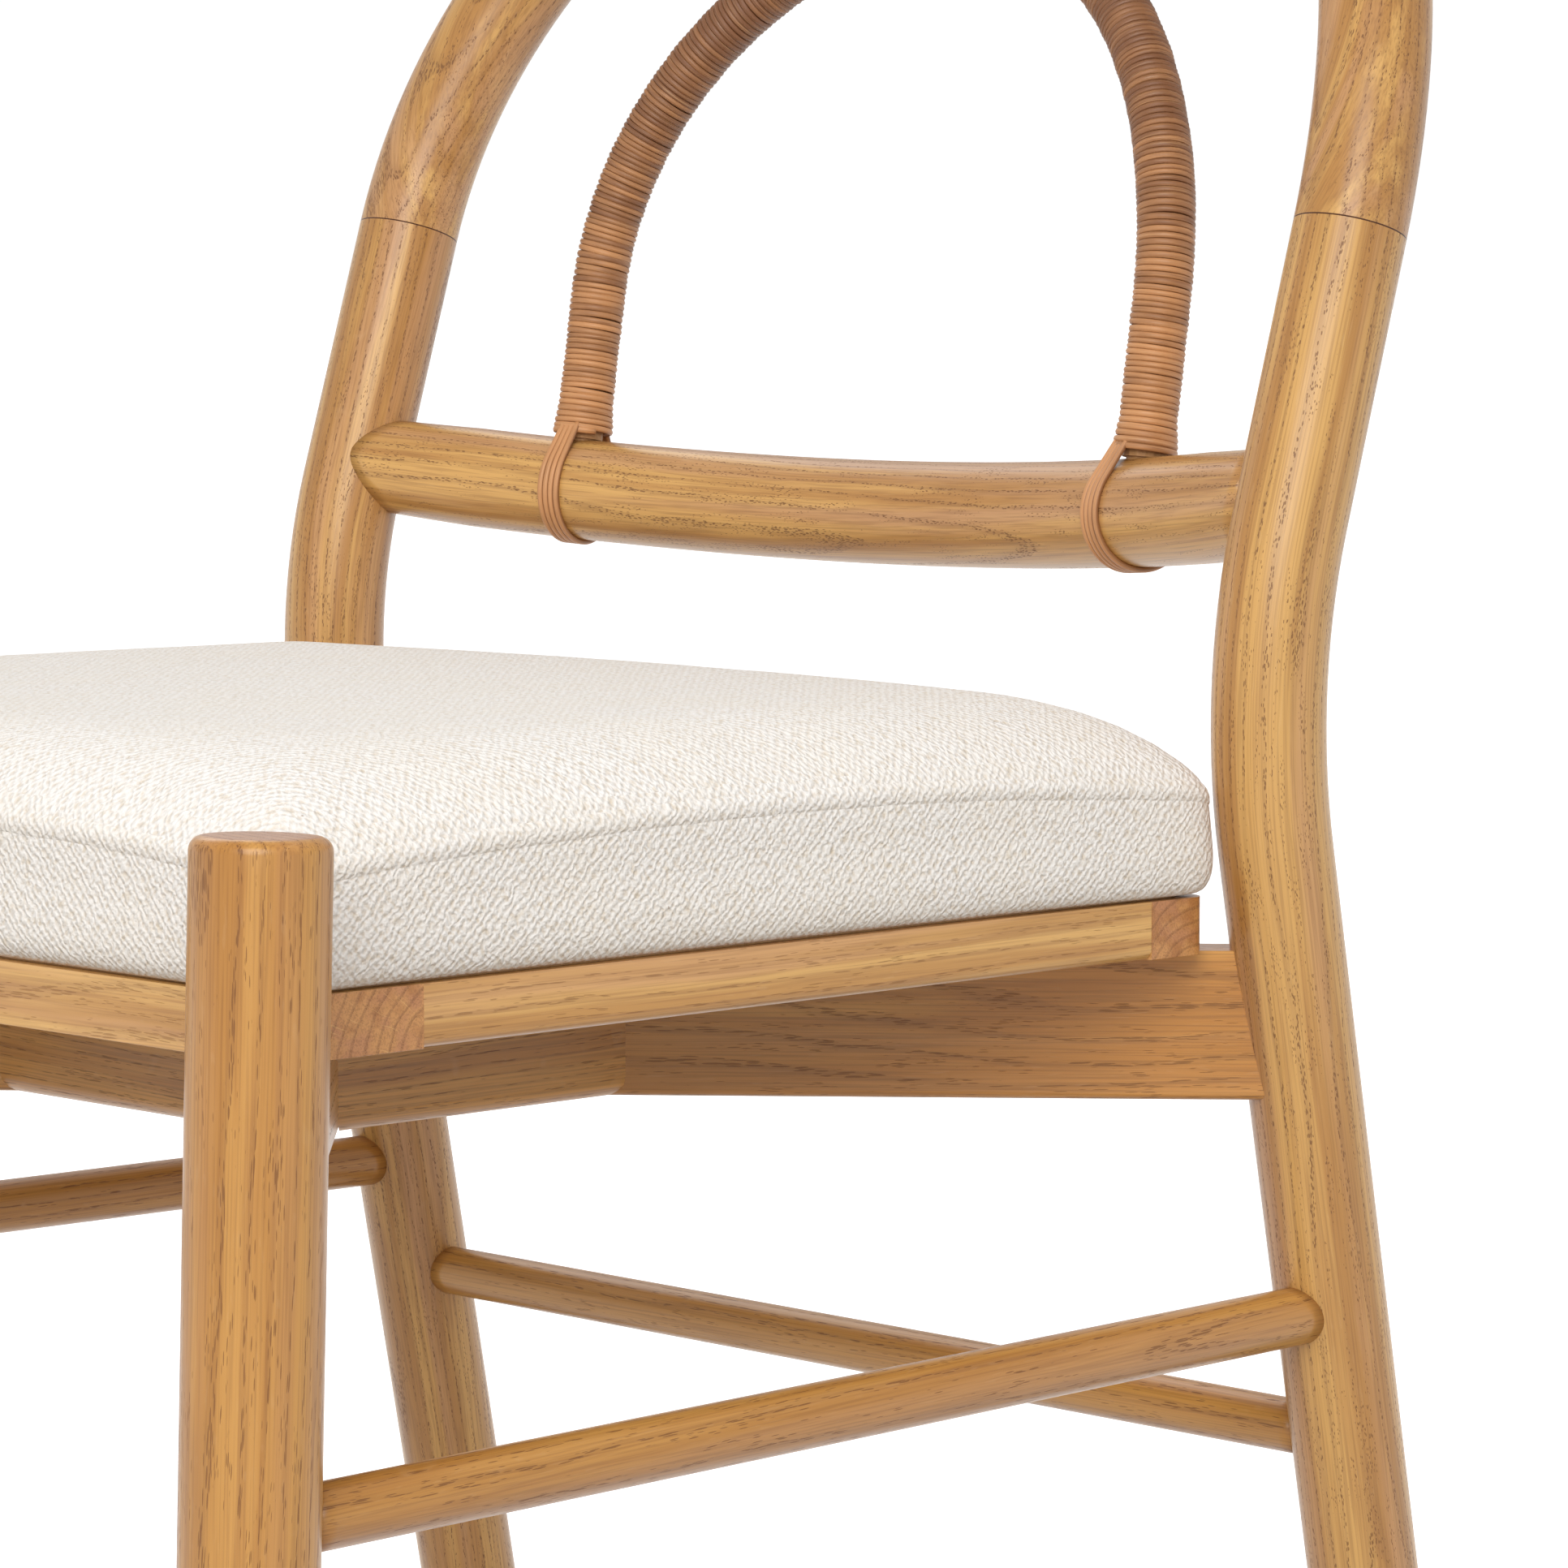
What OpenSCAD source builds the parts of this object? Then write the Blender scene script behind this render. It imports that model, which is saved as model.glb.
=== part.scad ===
// Armless dining side chair: round oak legs and bent rear posts, a hoop back
// with a bowed rail and a rattan-wrapped inner arch, and an upholstered seat
// that rests on an X-shaped underframe.
// Millimetres. Seen from the front, +X points to the right, +Y to the back and
// +Z up. The origin is on the floor under the middle of the chair's bounding box.

/* [Legs and posts] */
// Diameter of the two front legs
front_leg_d = 39; // [32:1:44]
// Height of the front legs' flat tops above the floor
front_leg_top = 478; // [460:1:500]
// Distance of each front leg's axis from the middle plane
front_leg_x = 252; // [235:1:270]
// Rake of the front legs, with the foot further forward
front_leg_rake = 1.8; // [0:0.1:4]
// Diameter of the rear posts, the hoop and the back rail
post_d = 37; // [32:1:42]
// Diameter of the rear posts at the floor
post_foot_d = 35.5; // [30:0.5:42]
// Distance of each rear post's axis from the middle plane
post_x = 232; // [215:1:250]
// Rake of the posts below the seat
post_rake = 10.8; // [6:0.1:14]
// Lean of the back above the seat
back_lean = 17; // [10:0.5:22]
// Radius of the bend where the posts change direction
knee_r = 220; // [120:5:300]

/* [Back] */
// Length of the straight post above the middle of its bend
post_upper_len = 151; // [120:1:200]
// Depth of the backward bow of the rail and the hoop
back_bow = 44; // [20:1:60]
// Height of the rail's ends above the middle of the bend, along the posts
rail_height = 61.5; // [45:0.5:90]
// Diameter of the bare rod inside the inner arch
arch_rod_d = 15; // [10:1:18]
// Diameter of the inner arch over its rattan wrapping
arch_wrap_d = 20; // [18:0.5:24]
// Half of the distance between the inner arch's two feet
arch_r = 139.5; // [110:0.5:160]
// Lean of the inner arch
arch_lean = 8.9; // [6:0.1:17]
// Length of the inner arch's straight feet above the rail
arch_straight = 53.5; // [30:0.5:80]
// How much deeper the inner arch bows than the rail below it
arch_bow = 1.37; // [1:0.01:1.5]

/* [Seat] */
// Height of the seat frame's underside above the floor
frame_z = 410; // [380:1:440]
// Thickness of the seat frame
frame_t = 18.5; // [15:0.5:22]
// Half width of the seat frame
frame_half_w = 222.5; // [205:0.5:232]
// Depth of the seat frame from its front edge to its back edge
frame_depth = 383; // [360:1:384]
// Width of the front board of the seat frame
front_rail_w = 52.5; // [40:0.5:60]
// Width of the back board of the seat frame
rear_rail_w = 27; // [22:0.5:40]
// Width of the side boards of the seat frame
side_rail_w = 48; // [36:1:60]
// How far the cushion overhangs the frame on each side
cushion_overhang = 3; // [1:0.5:5]
// Height of the cushion's side at the seam
cushion_side_h = 41; // [30:1:50]
// Height of the cushion's crown above the seam
cushion_crown = 23; // [4:1:30]
// Thickness of the seat board inside the cushion
board_t = 9; // [6:1:12]
// Thickness of the cover fabric
cover_t = 1.5; // [1:0.1:2.5]

/* [Underframe] */
// Height of the underframe's rails
under_h = 48.5; // [40:0.5:60]
// Thickness of the underframe's rails
under_t = 20; // [16:1:24]
// Half width of the middle box, over its side rails
box_half_w = 80; // [65:1:100]
// Half depth of the middle box, over its front and back rails
box_half_d = 78; // [65:1:95]

/* [Stretchers] */
// Diameter of the side stretchers
side_stretcher_d = 19; // [15:0.5:24]
// Height of the side stretchers' axes above the floor
side_stretcher_z = 290; // [200:1:320]
// Diameter of the rear stretcher
rear_stretcher_d = 18; // [15:0.5:24]
// Height of the rear stretcher's axis above the floor
rear_stretcher_z = 247; // [190:1:300]

/* [Hidden] */
$fn = 64;

// Where the axes of a post's two straight parts would meet
knee = [0, 199, 496];
// Front leg's axis at the seat frame's underside
front_leg_y = -227;
// Edges of the seat frame, and of the opening inside it
frame_front_y = -195;
frame_rear_y = frame_front_y + frame_depth;
frame_top = frame_z + frame_t;
inner_from_y = frame_front_y + front_rail_w;
inner_to_y = frame_rear_y - rear_rail_w;
inner_x = frame_half_w - side_rail_w;

glide_h = 3;
glide_d = 20;
glide_pin_d = 4;
glide_pin_len = 12;
leg_rim_r = 4;
tenon_d = 12;
tenon_len = 14;
dowel_d = 8;
dowel_half = 14;
hoop_dowel_d = 10;
hoop_dowel_half = 20;
frame_dowel_places = [0.3, 0.7];
end_dowel_rise = under_h / 4;
box_dowel_rise = under_h / 5;
screw_d = 5;
screw_head_d = 9;
screw_head_h = 3;
screw_depth = 14;
screw_inset = 62;
corner_r = 7;
cushion_corner_r = 10;
crown_inset = 45;
dust_t = 0.8;
dust_lap = 4;
binding_w = 10;
binding_t = 2;
binding_tilt = 12;
gap = 0.1;
board_clear = 6;
slab = 1;
wrap_start = 1;
// How far cutting shapes and blanks reach past the faces they make
overrun = 20;
hoop_rings = 40;
arch_rings = 36;
hoop_sides = 24;
arch_sides = 16;
post_sides = 32;
knee_steps = 12;
rail_rings = 28;
rail_d = post_d - 0.5;
rail_end_cut = 3;
big = 400;

// Directions in the plane of the back: along the posts and squarely behind them
up_dir = [0, sin(back_lean), cos(back_lean)];
back_dir = [0, cos(back_lean), -sin(back_lean)];
arch_up = [0, sin(arch_lean), cos(arch_lean)];
arch_back = [0, cos(arch_lean), -sin(arch_lean)];
bow_r = (post_x * post_x + back_bow * back_bow) / (2 * back_bow);
bow_angle = asin(post_x / bow_r);
knee_half = (post_rake + back_lean) / 2;
knee_middle = knee + [post_x, 0, 0] + knee_r / cos(knee_half)
    * unit([0, sin(back_lean) + sin(post_rake), cos(back_lean) - cos(post_rake)]);
joint = knee + post_upper_len * up_dir;
rail_end = knee + rail_height * up_dir;
arch_foot = rail_end + bow(arch_r) * back_dir + rail_d / 2 * arch_up;
under_mid_z = frame_z - under_h / 2;
leg_at_under = leg_axis(under_mid_z);
post_at_under = post_axis(under_mid_z);
cross_slope = (post_at_under[1] - leg_at_under[1]) / (post_x + front_leg_x);
cross_angle = atan(cross_slope);
cross_y = leg_at_under[1] + cross_slope * front_leg_x;
cross_edge = under_t / 2 * sqrt(1 + cross_slope * cross_slope);
foot_front = leg_axis(glide_h)[1] - front_leg_d / 2;
hoop_back = (joint + post_x * up_dir + back_bow * back_dir)[1] + post_d / 2;
origin_y = (foot_front + hoop_back) / 2;

// Depth of the bow at a distance s from the middle plane
function bow(s) = sqrt(bow_r * bow_r - s * s) - (bow_r - back_bow);
// Points on the axes of a front leg and of a post's lower part at height z
function leg_axis(z) = [front_leg_x, front_leg_y + (z - frame_z) * tan(front_leg_rake), z];
function post_axis(z) = [post_x, knee[1] + (knee[2] - z) * tan(post_rake), z];
function unit(v) = v / norm(v);

// The hoop's axis: a half circle laid on the bowed surface of the back
function hoop_point(a) = joint + post_x * cos(a) * [1, 0, 0] + post_x * sin(a) * up_dir
    + bow(post_x * cos(a)) * back_dir;
hoop_path = [for (i = [0 : hoop_rings]) hoop_point(180 * i / hoop_rings)];

// The back rail's axis, from post to post
function rail_point(s) = rail_end + [s, 0, 0] + bow(s) * back_dir;
rail_path = [for (i = [0 : rail_rings]) rail_point(post_x * (2 * i / rail_rings - 1))];

// The inner arch's axis: two straight feet and a half circle, bowed like the rail
function arch_point(s, h) = [0, arch_foot[1], arch_foot[2]] + [s, 0, 0] + h * arch_up
    + arch_bow * (bow(s) - bow(arch_r)) * arch_back;
function arch_path(start) = concat(
    [arch_point(arch_r, start), arch_point(arch_r, arch_straight / 2)],
    [for (i = [0 : arch_rings]) let (a = 180 * i / arch_rings)
        arch_point(arch_r * cos(a), arch_straight + arch_r * sin(a))],
    [arch_point(-arch_r, arch_straight / 2), arch_point(-arch_r, start)]);

// A round bar swept along a path, with flat ends square to the path; d is one
// diameter, or a list with one for each point
module swept_bar(path, d, sides, facing) {
    last = len(path) - 1;
    rings = [for (i = [0 : last]) let (
        along = unit(path[min(i + 1, last)] - path[max(i - 1, 0)]),
        side = unit(cross(along, facing)),
        out = cross(side, along))
        [for (k = [0 : sides - 1]) let (a = 360 * k / sides)
            path[i] + (is_list(d) ? d[i] : d) / 2 * (cos(a) * side + sin(a) * out)]];
    points = [for (ring = rings) for (p = ring) p];
    walls = [for (i = [0 : last - 1]) for (k = [0 : sides - 1]) let (n = (k + 1) % sides)
        for (tri = [[i * sides + k, i * sides + n, (i + 1) * sides + n],
                    [i * sides + k, (i + 1) * sides + n, (i + 1) * sides + k]]) tri];
    caps = [[for (k = [sides - 1 : -1 : 0]) k], [for (k = [0 : sides - 1]) last * sides + k]];
    polyhedron(points, concat(walls, caps));
}

// A cylinder between two points
module rod(a, b, d) {
    v = b - a;
    translate(a)
        rotate([0, acos(v[2] / norm(v)), atan2(v[1], v[0])])
            cylinder(h = norm(v), d = d);
}

// Everything is modelled about the seat and then moved onto the origin
module place() {
    translate([0, -origin_y, 0]) children();
}

module below_floor_line() {
    translate([-big, -big, -big + glide_h]) cube([2 * big, 2 * big + big, big]);
}

module glide_bores(p) {
    translate([p[0], p[1], 0]) cylinder(h = glide_h + glide_pin_len, d = glide_pin_d);
}

// Solid round leg with a softened rim, before any joint is cut
module leg_blank() {
    length = front_leg_top / cos(front_leg_rake);
    r = front_leg_d / 2;
    translate(leg_axis(0)) rotate([-front_leg_rake, 0, 0]) {
        translate([0, 0, -overrun]) cylinder(h = length + overrun - leg_rim_r, r = r);
        cylinder(h = length, r = r - leg_rim_r);
        translate([0, 0, length - leg_rim_r])
            rotate_extrude() translate([r - leg_rim_r, 0]) intersection() {
                circle(r = leg_rim_r);
                square(leg_rim_r);
            }
    }
}

// Rear post's axis: raked foot, round bend and leaning upper part, as [point, diameter]
function post_path() = concat(
    [[post_axis(-overrun), post_foot_d]],
    [for (i = [0 : knee_steps]) let (a = -post_rake + (post_rake + back_lean) * i / knee_steps)
        [knee_middle + knee_r * [0, -cos(a), sin(a)], post_d]],
    [[joint + [post_x, 0, 0], post_d]]);

module post_blank() {
    path = post_path();
    swept_bar([for (p = path) p[0]], [for (p = path) p[1]], post_sides, [1, 0, 0]);
}

// Straight bar along the lower part of the post
module post_lower_blank() {
    rod(post_axis(-overrun), post_axis(knee[2]), post_d);
}

// The straight bar that the back rail's ends are fitted around
module post_core() {
    translate(knee + [post_x, 0, 0]) rotate([-back_lean, 0, 0])
        cylinder(h = post_upper_len, d = post_d);
}

// The stretchers' round tenons and the bar between them
module side_stretcher_core() {
    a = leg_axis(side_stretcher_z);
    b = post_axis(side_stretcher_z);
    dir = unit(b - a);
    rod(a + (front_leg_d / 2 - tenon_len) * dir, b - (post_d / 2 - tenon_len) * dir, tenon_d);
}

module rear_stretcher_core() {
    p = post_axis(rear_stretcher_z);
    reach = post_x - post_d / 2 + tenon_len;
    translate([-reach, p[1], p[2]]) rotate([0, 90, 0]) cylinder(h = 2 * reach, d = tenon_d);
}

// Two dowels, one above the other, across each end of a cross rail
module end_dowels(p) {
    dir = [cos(cross_angle), sin(cross_angle) * sign(p[1] - cross_y), 0];
    for (z = [under_mid_z - end_dowel_rise, under_mid_z + end_dowel_rise]) {
        edge = p[1] < cross_y ? leg_axis(z) : post_axis(z);
        radius = p[1] < cross_y ? front_leg_d / 2 : post_d / 2;
        start = edge - (radius + dowel_half) * dir;
        rod(start, start + 2 * dowel_half * dir, dowel_d);
    }
}

module front_leg() {
    color("burlywood") place() difference() {
        leg_blank();
        below_floor_line();
        glide_bores(leg_axis(0));
        side_stretcher_core();
        end_dowels(leg_at_under);
    }
}

module rear_post() {
    color("burlywood") place() difference() {
        post_blank();
        below_floor_line();
        glide_bores(post_axis(0));
        side_stretcher_core();
        rear_stretcher_core();
        end_dowels(post_at_under);
        rail_dowel();
        hoop_dowel();
    }
}

module hoop_dowel() {
    translate(joint + [post_x, 0, 0] - hoop_dowel_half * up_dir) rotate([-back_lean, 0, 0])
        cylinder(h = 2 * hoop_dowel_half, d = hoop_dowel_d);
}

module hoop() {
    color("burlywood") place() difference() {
        swept_bar(hoop_path, post_d, hoop_sides, back_dir);
        hoop_dowel();
        mirror([1, 0, 0]) hoop_dowel();
    }
}

// The rail's end runs into the post at the angle of the bow
module rail_dowel() {
    dir = [cos(bow_angle), -sin(bow_angle) * back_dir[1], -sin(bow_angle) * back_dir[2]];
    start = rail_end + [post_x, 0, 0] - (post_d / 2 + dowel_half) * dir;
    rod(start, start + 2 * dowel_half * dir, dowel_d);
}

module arch_tenon(extra = 0) {
    for (side = [1, -1])
        translate([side * arch_r, arch_foot[1], arch_foot[2]]) rotate([-arch_lean, 0, 0])
            translate([0, 0, -tenon_len]) cylinder(h = tenon_len + extra, d = tenon_d);
}

module back_rail() {
    color("burlywood") place() difference() {
        swept_bar(rail_path, rail_d, hoop_sides, up_dir);
        both_sides() post_core();
        both_sides() rail_dowel();
        both_sides() translate([post_x - rail_end_cut, 0, frame_z]) cube(big);
        arch_tenon();
    }
}

module arch_rod() {
    color("tan") place() {
        swept_bar(arch_path(gap), arch_rod_d, arch_sides, arch_back);
        arch_tenon(slab);
    }
}

module arch_wrap() {
    color("peru") place() difference() {
        swept_bar(arch_path(wrap_start), arch_wrap_d, arch_sides, arch_back);
        swept_bar(arch_path(-wrap_start), arch_rod_d + 2 * gap, arch_sides, arch_back);
    }
}

// Rattan band tied around the rail at the arch's foot
module arch_binding() {
    along = [cos(asin(arch_r / bow_r)), 0, 0] - arch_r / bow_r * back_dir;
    at = rail_end + [arch_r, 0, 0] + bow(arch_r) * back_dir;
    color("peru") place() translate(at)
        rotate([0, acos(unit(along)[2]) - binding_tilt, atan2(along[1], along[0])])
            rotate_extrude() translate([rail_d / 2 + gap, -binding_w / 2]) square([binding_t, binding_w]);
}

// Plan outline of the seat frame with rounded corners
module frame_outline() {
    for (x = [-1, 1]) for (y = [frame_front_y + corner_r, frame_rear_y - corner_r])
        translate([x * (frame_half_w - corner_r), y]) circle(r = corner_r);
    translate([-frame_half_w, frame_front_y + corner_r])
        square([2 * frame_half_w, frame_depth - 2 * corner_r]);
    translate([-frame_half_w + corner_r, frame_front_y])
        square([2 * (frame_half_w - corner_r), frame_depth]);
}

module frame_board(from_y, to_y, from_x, to_x) {
    color("burlywood") place() difference() {
        translate([0, 0, frame_z]) linear_extrude(frame_t) intersection() {
            frame_outline();
            translate([from_x, from_y]) square([to_x - from_x, to_y - from_y]);
        }
        all_frame_dowels();
        all_screws();
    }
}

module all_frame_dowels() {
    z = frame_z + frame_t / 2;
    for (side = [-1, 1]) for (place = frame_dowel_places) for (y = [inner_from_y, inner_to_y])
        translate([side * (frame_half_w - side_rail_w * place), y - dowel_half, z])
            rotate([-90, 0, 0]) cylinder(h = 2 * dowel_half, d = dowel_d);
}

// Screws that come up through the cross rails into the seat frame
module screw_at(p) {
    length = under_h + screw_depth;
    translate([p[0], p[1], frame_z - under_h]) {
        cylinder(h = length, d = screw_d);
        cylinder(h = screw_head_h, d = screw_head_d);
    }
}

module all_screws() {
    inset = screw_inset * [cos(cross_angle), sin(cross_angle)];
    for (side = [-1, 1]) {
        screw_at([side * (front_leg_x - inset[0]), leg_at_under[1] + inset[1]]);
        screw_at([side * (post_x - inset[0]), post_at_under[1] - inset[1]]);
    }
}

module cushion_outline(margin) {
    r = cushion_corner_r;
    half = frame_half_w + cushion_overhang - margin;
    front = frame_front_y - cushion_overhang + margin;
    depth = frame_depth + 2 * cushion_overhang - 2 * margin;
    for (x = [-1, 1]) for (y = [front + r, front + depth - r])
        translate([x * (half - r), y]) circle(r = r);
    translate([-half, front + r]) square([2 * half, depth - 2 * r]);
    translate([-half + r, front]) square([2 * (half - r), depth]);
}

module cushion_solid(margin) {
    z = frame_top + gap;
    translate([0, 0, z]) linear_extrude(cushion_side_h - margin) cushion_outline(margin);
    hull() {
        translate([0, 0, z + cushion_side_h - margin - slab])
            linear_extrude(slab) cushion_outline(margin);
        translate([0, 0, z + cushion_side_h + cushion_crown - margin - slab])
            linear_extrude(slab) cushion_outline(margin + crown_inset);
    }
}

module seat_board() {
    color("wheat") place() translate([0, 0, frame_top + gap])
        linear_extrude(board_t) cushion_outline(cover_t + board_clear);
}

module seat_foam() {
    color("ivory") place() difference() {
        cushion_solid(cover_t + gap);
        translate([-big, -big, frame_top - slab]) cube([2 * big, 2 * big, slab + 2 * gap + board_t]);
    }
}

module seat_cover() {
    color("linen") place() difference() {
        cushion_solid(0);
        cushion_solid(cover_t);
        translate([0, 0, frame_top - slab]) linear_extrude(2 * slab) cushion_outline(cover_t);
    }
}

module dust_cover() {
    half = inner_x - dust_lap;
    depth = inner_to_y - inner_from_y - 2 * dust_lap;
    color("dimgray") place() translate([-half, inner_from_y + dust_lap, frame_top - dust_t])
        cube([2 * half, depth, dust_t]);
}

// One straight rail from a front leg to the opposite rear post
module cross_blank() {
    long = 2 * big;
    translate([0, cross_y, frame_z - under_h]) rotate([0, 0, -cross_angle])
        translate([-long / 2, -under_t / 2, 0]) cube([long, under_t, under_h]);
}

module leg_clearance() {
    leg_blank();
    translate(leg_axis(0)) translate([0, -big, 0]) cube([big, 2 * big, big * 2]);
}

module post_clearance() {
    post_lower_blank();
    translate(post_axis(0)) translate([0, -big, 0]) cube([big, 2 * big, big * 2]);
}

module cross_rail(notch_top) {
    color("burlywood") place() difference() {
        cross_blank();
        leg_clearance();
        mirror([1, 0, 0]) post_clearance();
        intersection() {
            mirror([1, 0, 0]) cross_blank();
            translate([-big, -big, notch_top ? under_mid_z : frame_z - under_h])
                cube([2 * big, 2 * big, under_h / 2]);
        }
        end_dowels(leg_at_under);
        mirror([1, 0, 0]) end_dowels(post_at_under);
        all_box_dowels();
        all_screws();
    }
}

// Outline of the box rail on the +X side; its ends lie on the cross rails
module side_box_outline() {
    inner = box_half_w - under_t;
    reach_outer = cross_slope * box_half_w - cross_edge;
    reach_inner = cross_slope * inner - cross_edge;
    polygon([[box_half_w, cross_y - reach_outer], [box_half_w, cross_y + reach_outer],
             [inner, cross_y + reach_inner], [inner, cross_y - reach_inner]]);
}

// Outline of the box rail on the +Y side
module end_box_outline() {
    inner = box_half_d - under_t;
    reach_outer = (box_half_d - cross_edge) / cross_slope;
    reach_inner = (inner - cross_edge) / cross_slope;
    polygon([[-reach_outer, cross_y + box_half_d], [reach_outer, cross_y + box_half_d],
             [reach_inner, cross_y + inner], [-reach_inner, cross_y + inner]]);
}

module box_rail(side) {
    color("burlywood") place() difference() {
        translate([0, 0, frame_z - under_h]) linear_extrude(under_h) {
            if (side == "right") side_box_outline();
            if (side == "left") mirror([1, 0]) side_box_outline();
            if (side == "rear") end_box_outline();
            if (side == "front") translate([0, 2 * cross_y]) mirror([0, 1]) end_box_outline();
        }
        all_box_dowels();
    }
}

module all_box_dowels() {
    x = box_half_w - under_t / 2;
    y = box_half_d - under_t / 2;
    for (s = [-1, 1]) for (t = [-1, 1]) {
        side_end = cross_y + t * (cross_slope * x - cross_edge);
        translate([s * x, side_end - dowel_half / 2, under_mid_z - box_dowel_rise]) rotate([-90, 0, 0])
            cylinder(h = dowel_half, d = dowel_d);
        end_end = s * (y - cross_edge) / cross_slope;
        translate([end_end - dowel_half / 2, cross_y + t * y, under_mid_z + box_dowel_rise])
            rotate([0, 90, 0]) cylinder(h = dowel_half, d = dowel_d);
    }
}

module side_stretcher() {
    a = leg_axis(side_stretcher_z);
    b = post_axis(side_stretcher_z);
    color("burlywood") place() {
        difference() {
            rod(a, b, side_stretcher_d);
            leg_blank();
            post_lower_blank();
        }
        side_stretcher_core();
    }
}

module rear_stretcher() {
    p = post_axis(rear_stretcher_z);
    color("burlywood") place() {
        difference() {
            translate([-post_x, p[1], p[2]]) rotate([0, 90, 0])
                cylinder(h = 2 * post_x, d = rear_stretcher_d);
            post_lower_blank();
            mirror([1, 0, 0]) post_lower_blank();
        }
        rear_stretcher_core();
    }
}

module both_sides() {
    children();
    mirror([1, 0, 0]) children();
}

module hoop_dowels() { color("tan") place() both_sides() hoop_dowel(); }
module rail_dowels() { color("tan") place() both_sides() rail_dowel(); }
module leg_dowels() { color("tan") place() both_sides() end_dowels(leg_at_under); }
module post_dowels() { color("tan") place() both_sides() end_dowels(post_at_under); }
module box_dowels() { color("tan") place() all_box_dowels(); }
module frame_dowels() { color("tan") place() all_frame_dowels(); }
module seat_screws() { color("dimgray") place() all_screws(); }

module foot_glides() {
    color("saddlebrown") place() both_sides() for (p = [leg_axis(0), post_axis(0)])
        translate([p[0], p[1], 0]) {
            cylinder(h = glide_h, d = glide_d);
            cylinder(h = glide_h + glide_pin_len, d = glide_pin_d);
        }
}

mirror([1, 0, 0]) front_leg();  // front_leg_left
front_leg();  // front_leg_right
mirror([1, 0, 0]) rear_post();  // rear_post_left
rear_post();  // rear_post_right
hoop();
back_rail();
arch_rod();
arch_wrap();
mirror([1, 0, 0]) arch_binding();  // arch_binding_left
arch_binding();  // arch_binding_right
frame_board(frame_front_y, inner_from_y, -frame_half_w, frame_half_w);  // seat_frame_front
frame_board(inner_to_y, frame_rear_y, -frame_half_w, frame_half_w);  // seat_frame_rear
frame_board(inner_from_y, inner_to_y, -frame_half_w, -inner_x);  // seat_frame_left
frame_board(inner_from_y, inner_to_y, inner_x, frame_half_w);  // seat_frame_right
seat_board();
seat_foam();
seat_cover();
dust_cover();
cross_rail(true);  // cross_rail_a
mirror([1, 0, 0]) cross_rail(false);  // cross_rail_b
box_rail("front");  // box_rail_front
box_rail("rear");  // box_rail_rear
box_rail("left");  // box_rail_left
box_rail("right");  // box_rail_right
mirror([1, 0, 0]) side_stretcher();  // side_stretcher_left
side_stretcher();  // side_stretcher_right
rear_stretcher();
hoop_dowels();
rail_dowels();
leg_dowels();
post_dowels();
box_dowels();
frame_dowels();
seat_screws();
foot_glides();
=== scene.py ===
"""Looks of an oak side chair with a hoop back, a rattan-wrapped arch and a padded seat."""
import math
import random

import bmesh
import bpy
import numpy as np
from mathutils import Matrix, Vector
from mathutils.bvhtree import BVHTree


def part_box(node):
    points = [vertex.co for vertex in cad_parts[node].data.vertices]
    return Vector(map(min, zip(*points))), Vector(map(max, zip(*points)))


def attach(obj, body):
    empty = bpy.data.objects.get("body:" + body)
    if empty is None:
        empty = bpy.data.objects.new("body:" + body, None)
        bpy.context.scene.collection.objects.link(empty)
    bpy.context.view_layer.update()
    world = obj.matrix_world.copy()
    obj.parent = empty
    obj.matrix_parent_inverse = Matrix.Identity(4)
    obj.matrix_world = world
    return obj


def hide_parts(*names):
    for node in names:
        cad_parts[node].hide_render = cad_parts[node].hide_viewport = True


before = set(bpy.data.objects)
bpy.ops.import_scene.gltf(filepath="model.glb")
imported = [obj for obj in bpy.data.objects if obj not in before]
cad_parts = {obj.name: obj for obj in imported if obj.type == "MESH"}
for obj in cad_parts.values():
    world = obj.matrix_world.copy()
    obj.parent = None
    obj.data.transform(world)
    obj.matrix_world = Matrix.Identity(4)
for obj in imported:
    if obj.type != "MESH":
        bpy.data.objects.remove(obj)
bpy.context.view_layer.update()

MM = 0.001
SIDES = 64

# -------- design sizes, as in the CAD part
LEG_R = 19.5 * MM
LEG_TOP = 478 * MM
LEG_X = 252 * MM
LEG_RAKE = math.radians(1.8)
LEG_RIM = 4 * MM
POST_R = 18.5 * MM
POST_FOOT_R = 17.75 * MM
POST_X = 232 * MM
POST_RAKE = math.radians(10.8)
LEAN = math.radians(17)
KNEE_R = 220 * MM
UPPER_LEN = 151 * MM
BOW = 44 * MM
RAIL_R = 18.25 * MM
RAIL_HEIGHT = 61.5 * MM
ARCH_R = 139.5 * MM
ARCH_LEAN = math.radians(8.9)
ARCH_STRAIGHT = 53.5 * MM
ARCH_BOW = 1.37
WRAP_R = 10 * MM
FOOT_GAP = 1.6 * MM
FRAME_Z = 410 * MM
UNDER_H = 48.5 * MM
UNDER_T = 20 * MM
BOX_W = 80 * MM
BOX_D = 78 * MM
SIDE_BAR_R = 9.5 * MM
SIDE_BAR_Z = 290 * MM
REAR_BAR_R = 9 * MM
REAR_BAR_Z = 247 * MM
GLIDE_H = 3 * MM
INTO_POST = 0.98 * POST_R  # stretchers end a little inside the posts
POST_TAPER = 450 * MM  # length over which a post grows from its foot's radius
RAIL_EASE, RAIL_EASE_LEN = 0.055, 40 * MM  # how much thinner the rail's ends are
STEP = 1e-4  # between two points of a path, for its direction

FRONT = np.array(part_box("seat_frame_front"))
REAR = np.array(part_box("seat_frame_rear"))
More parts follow.
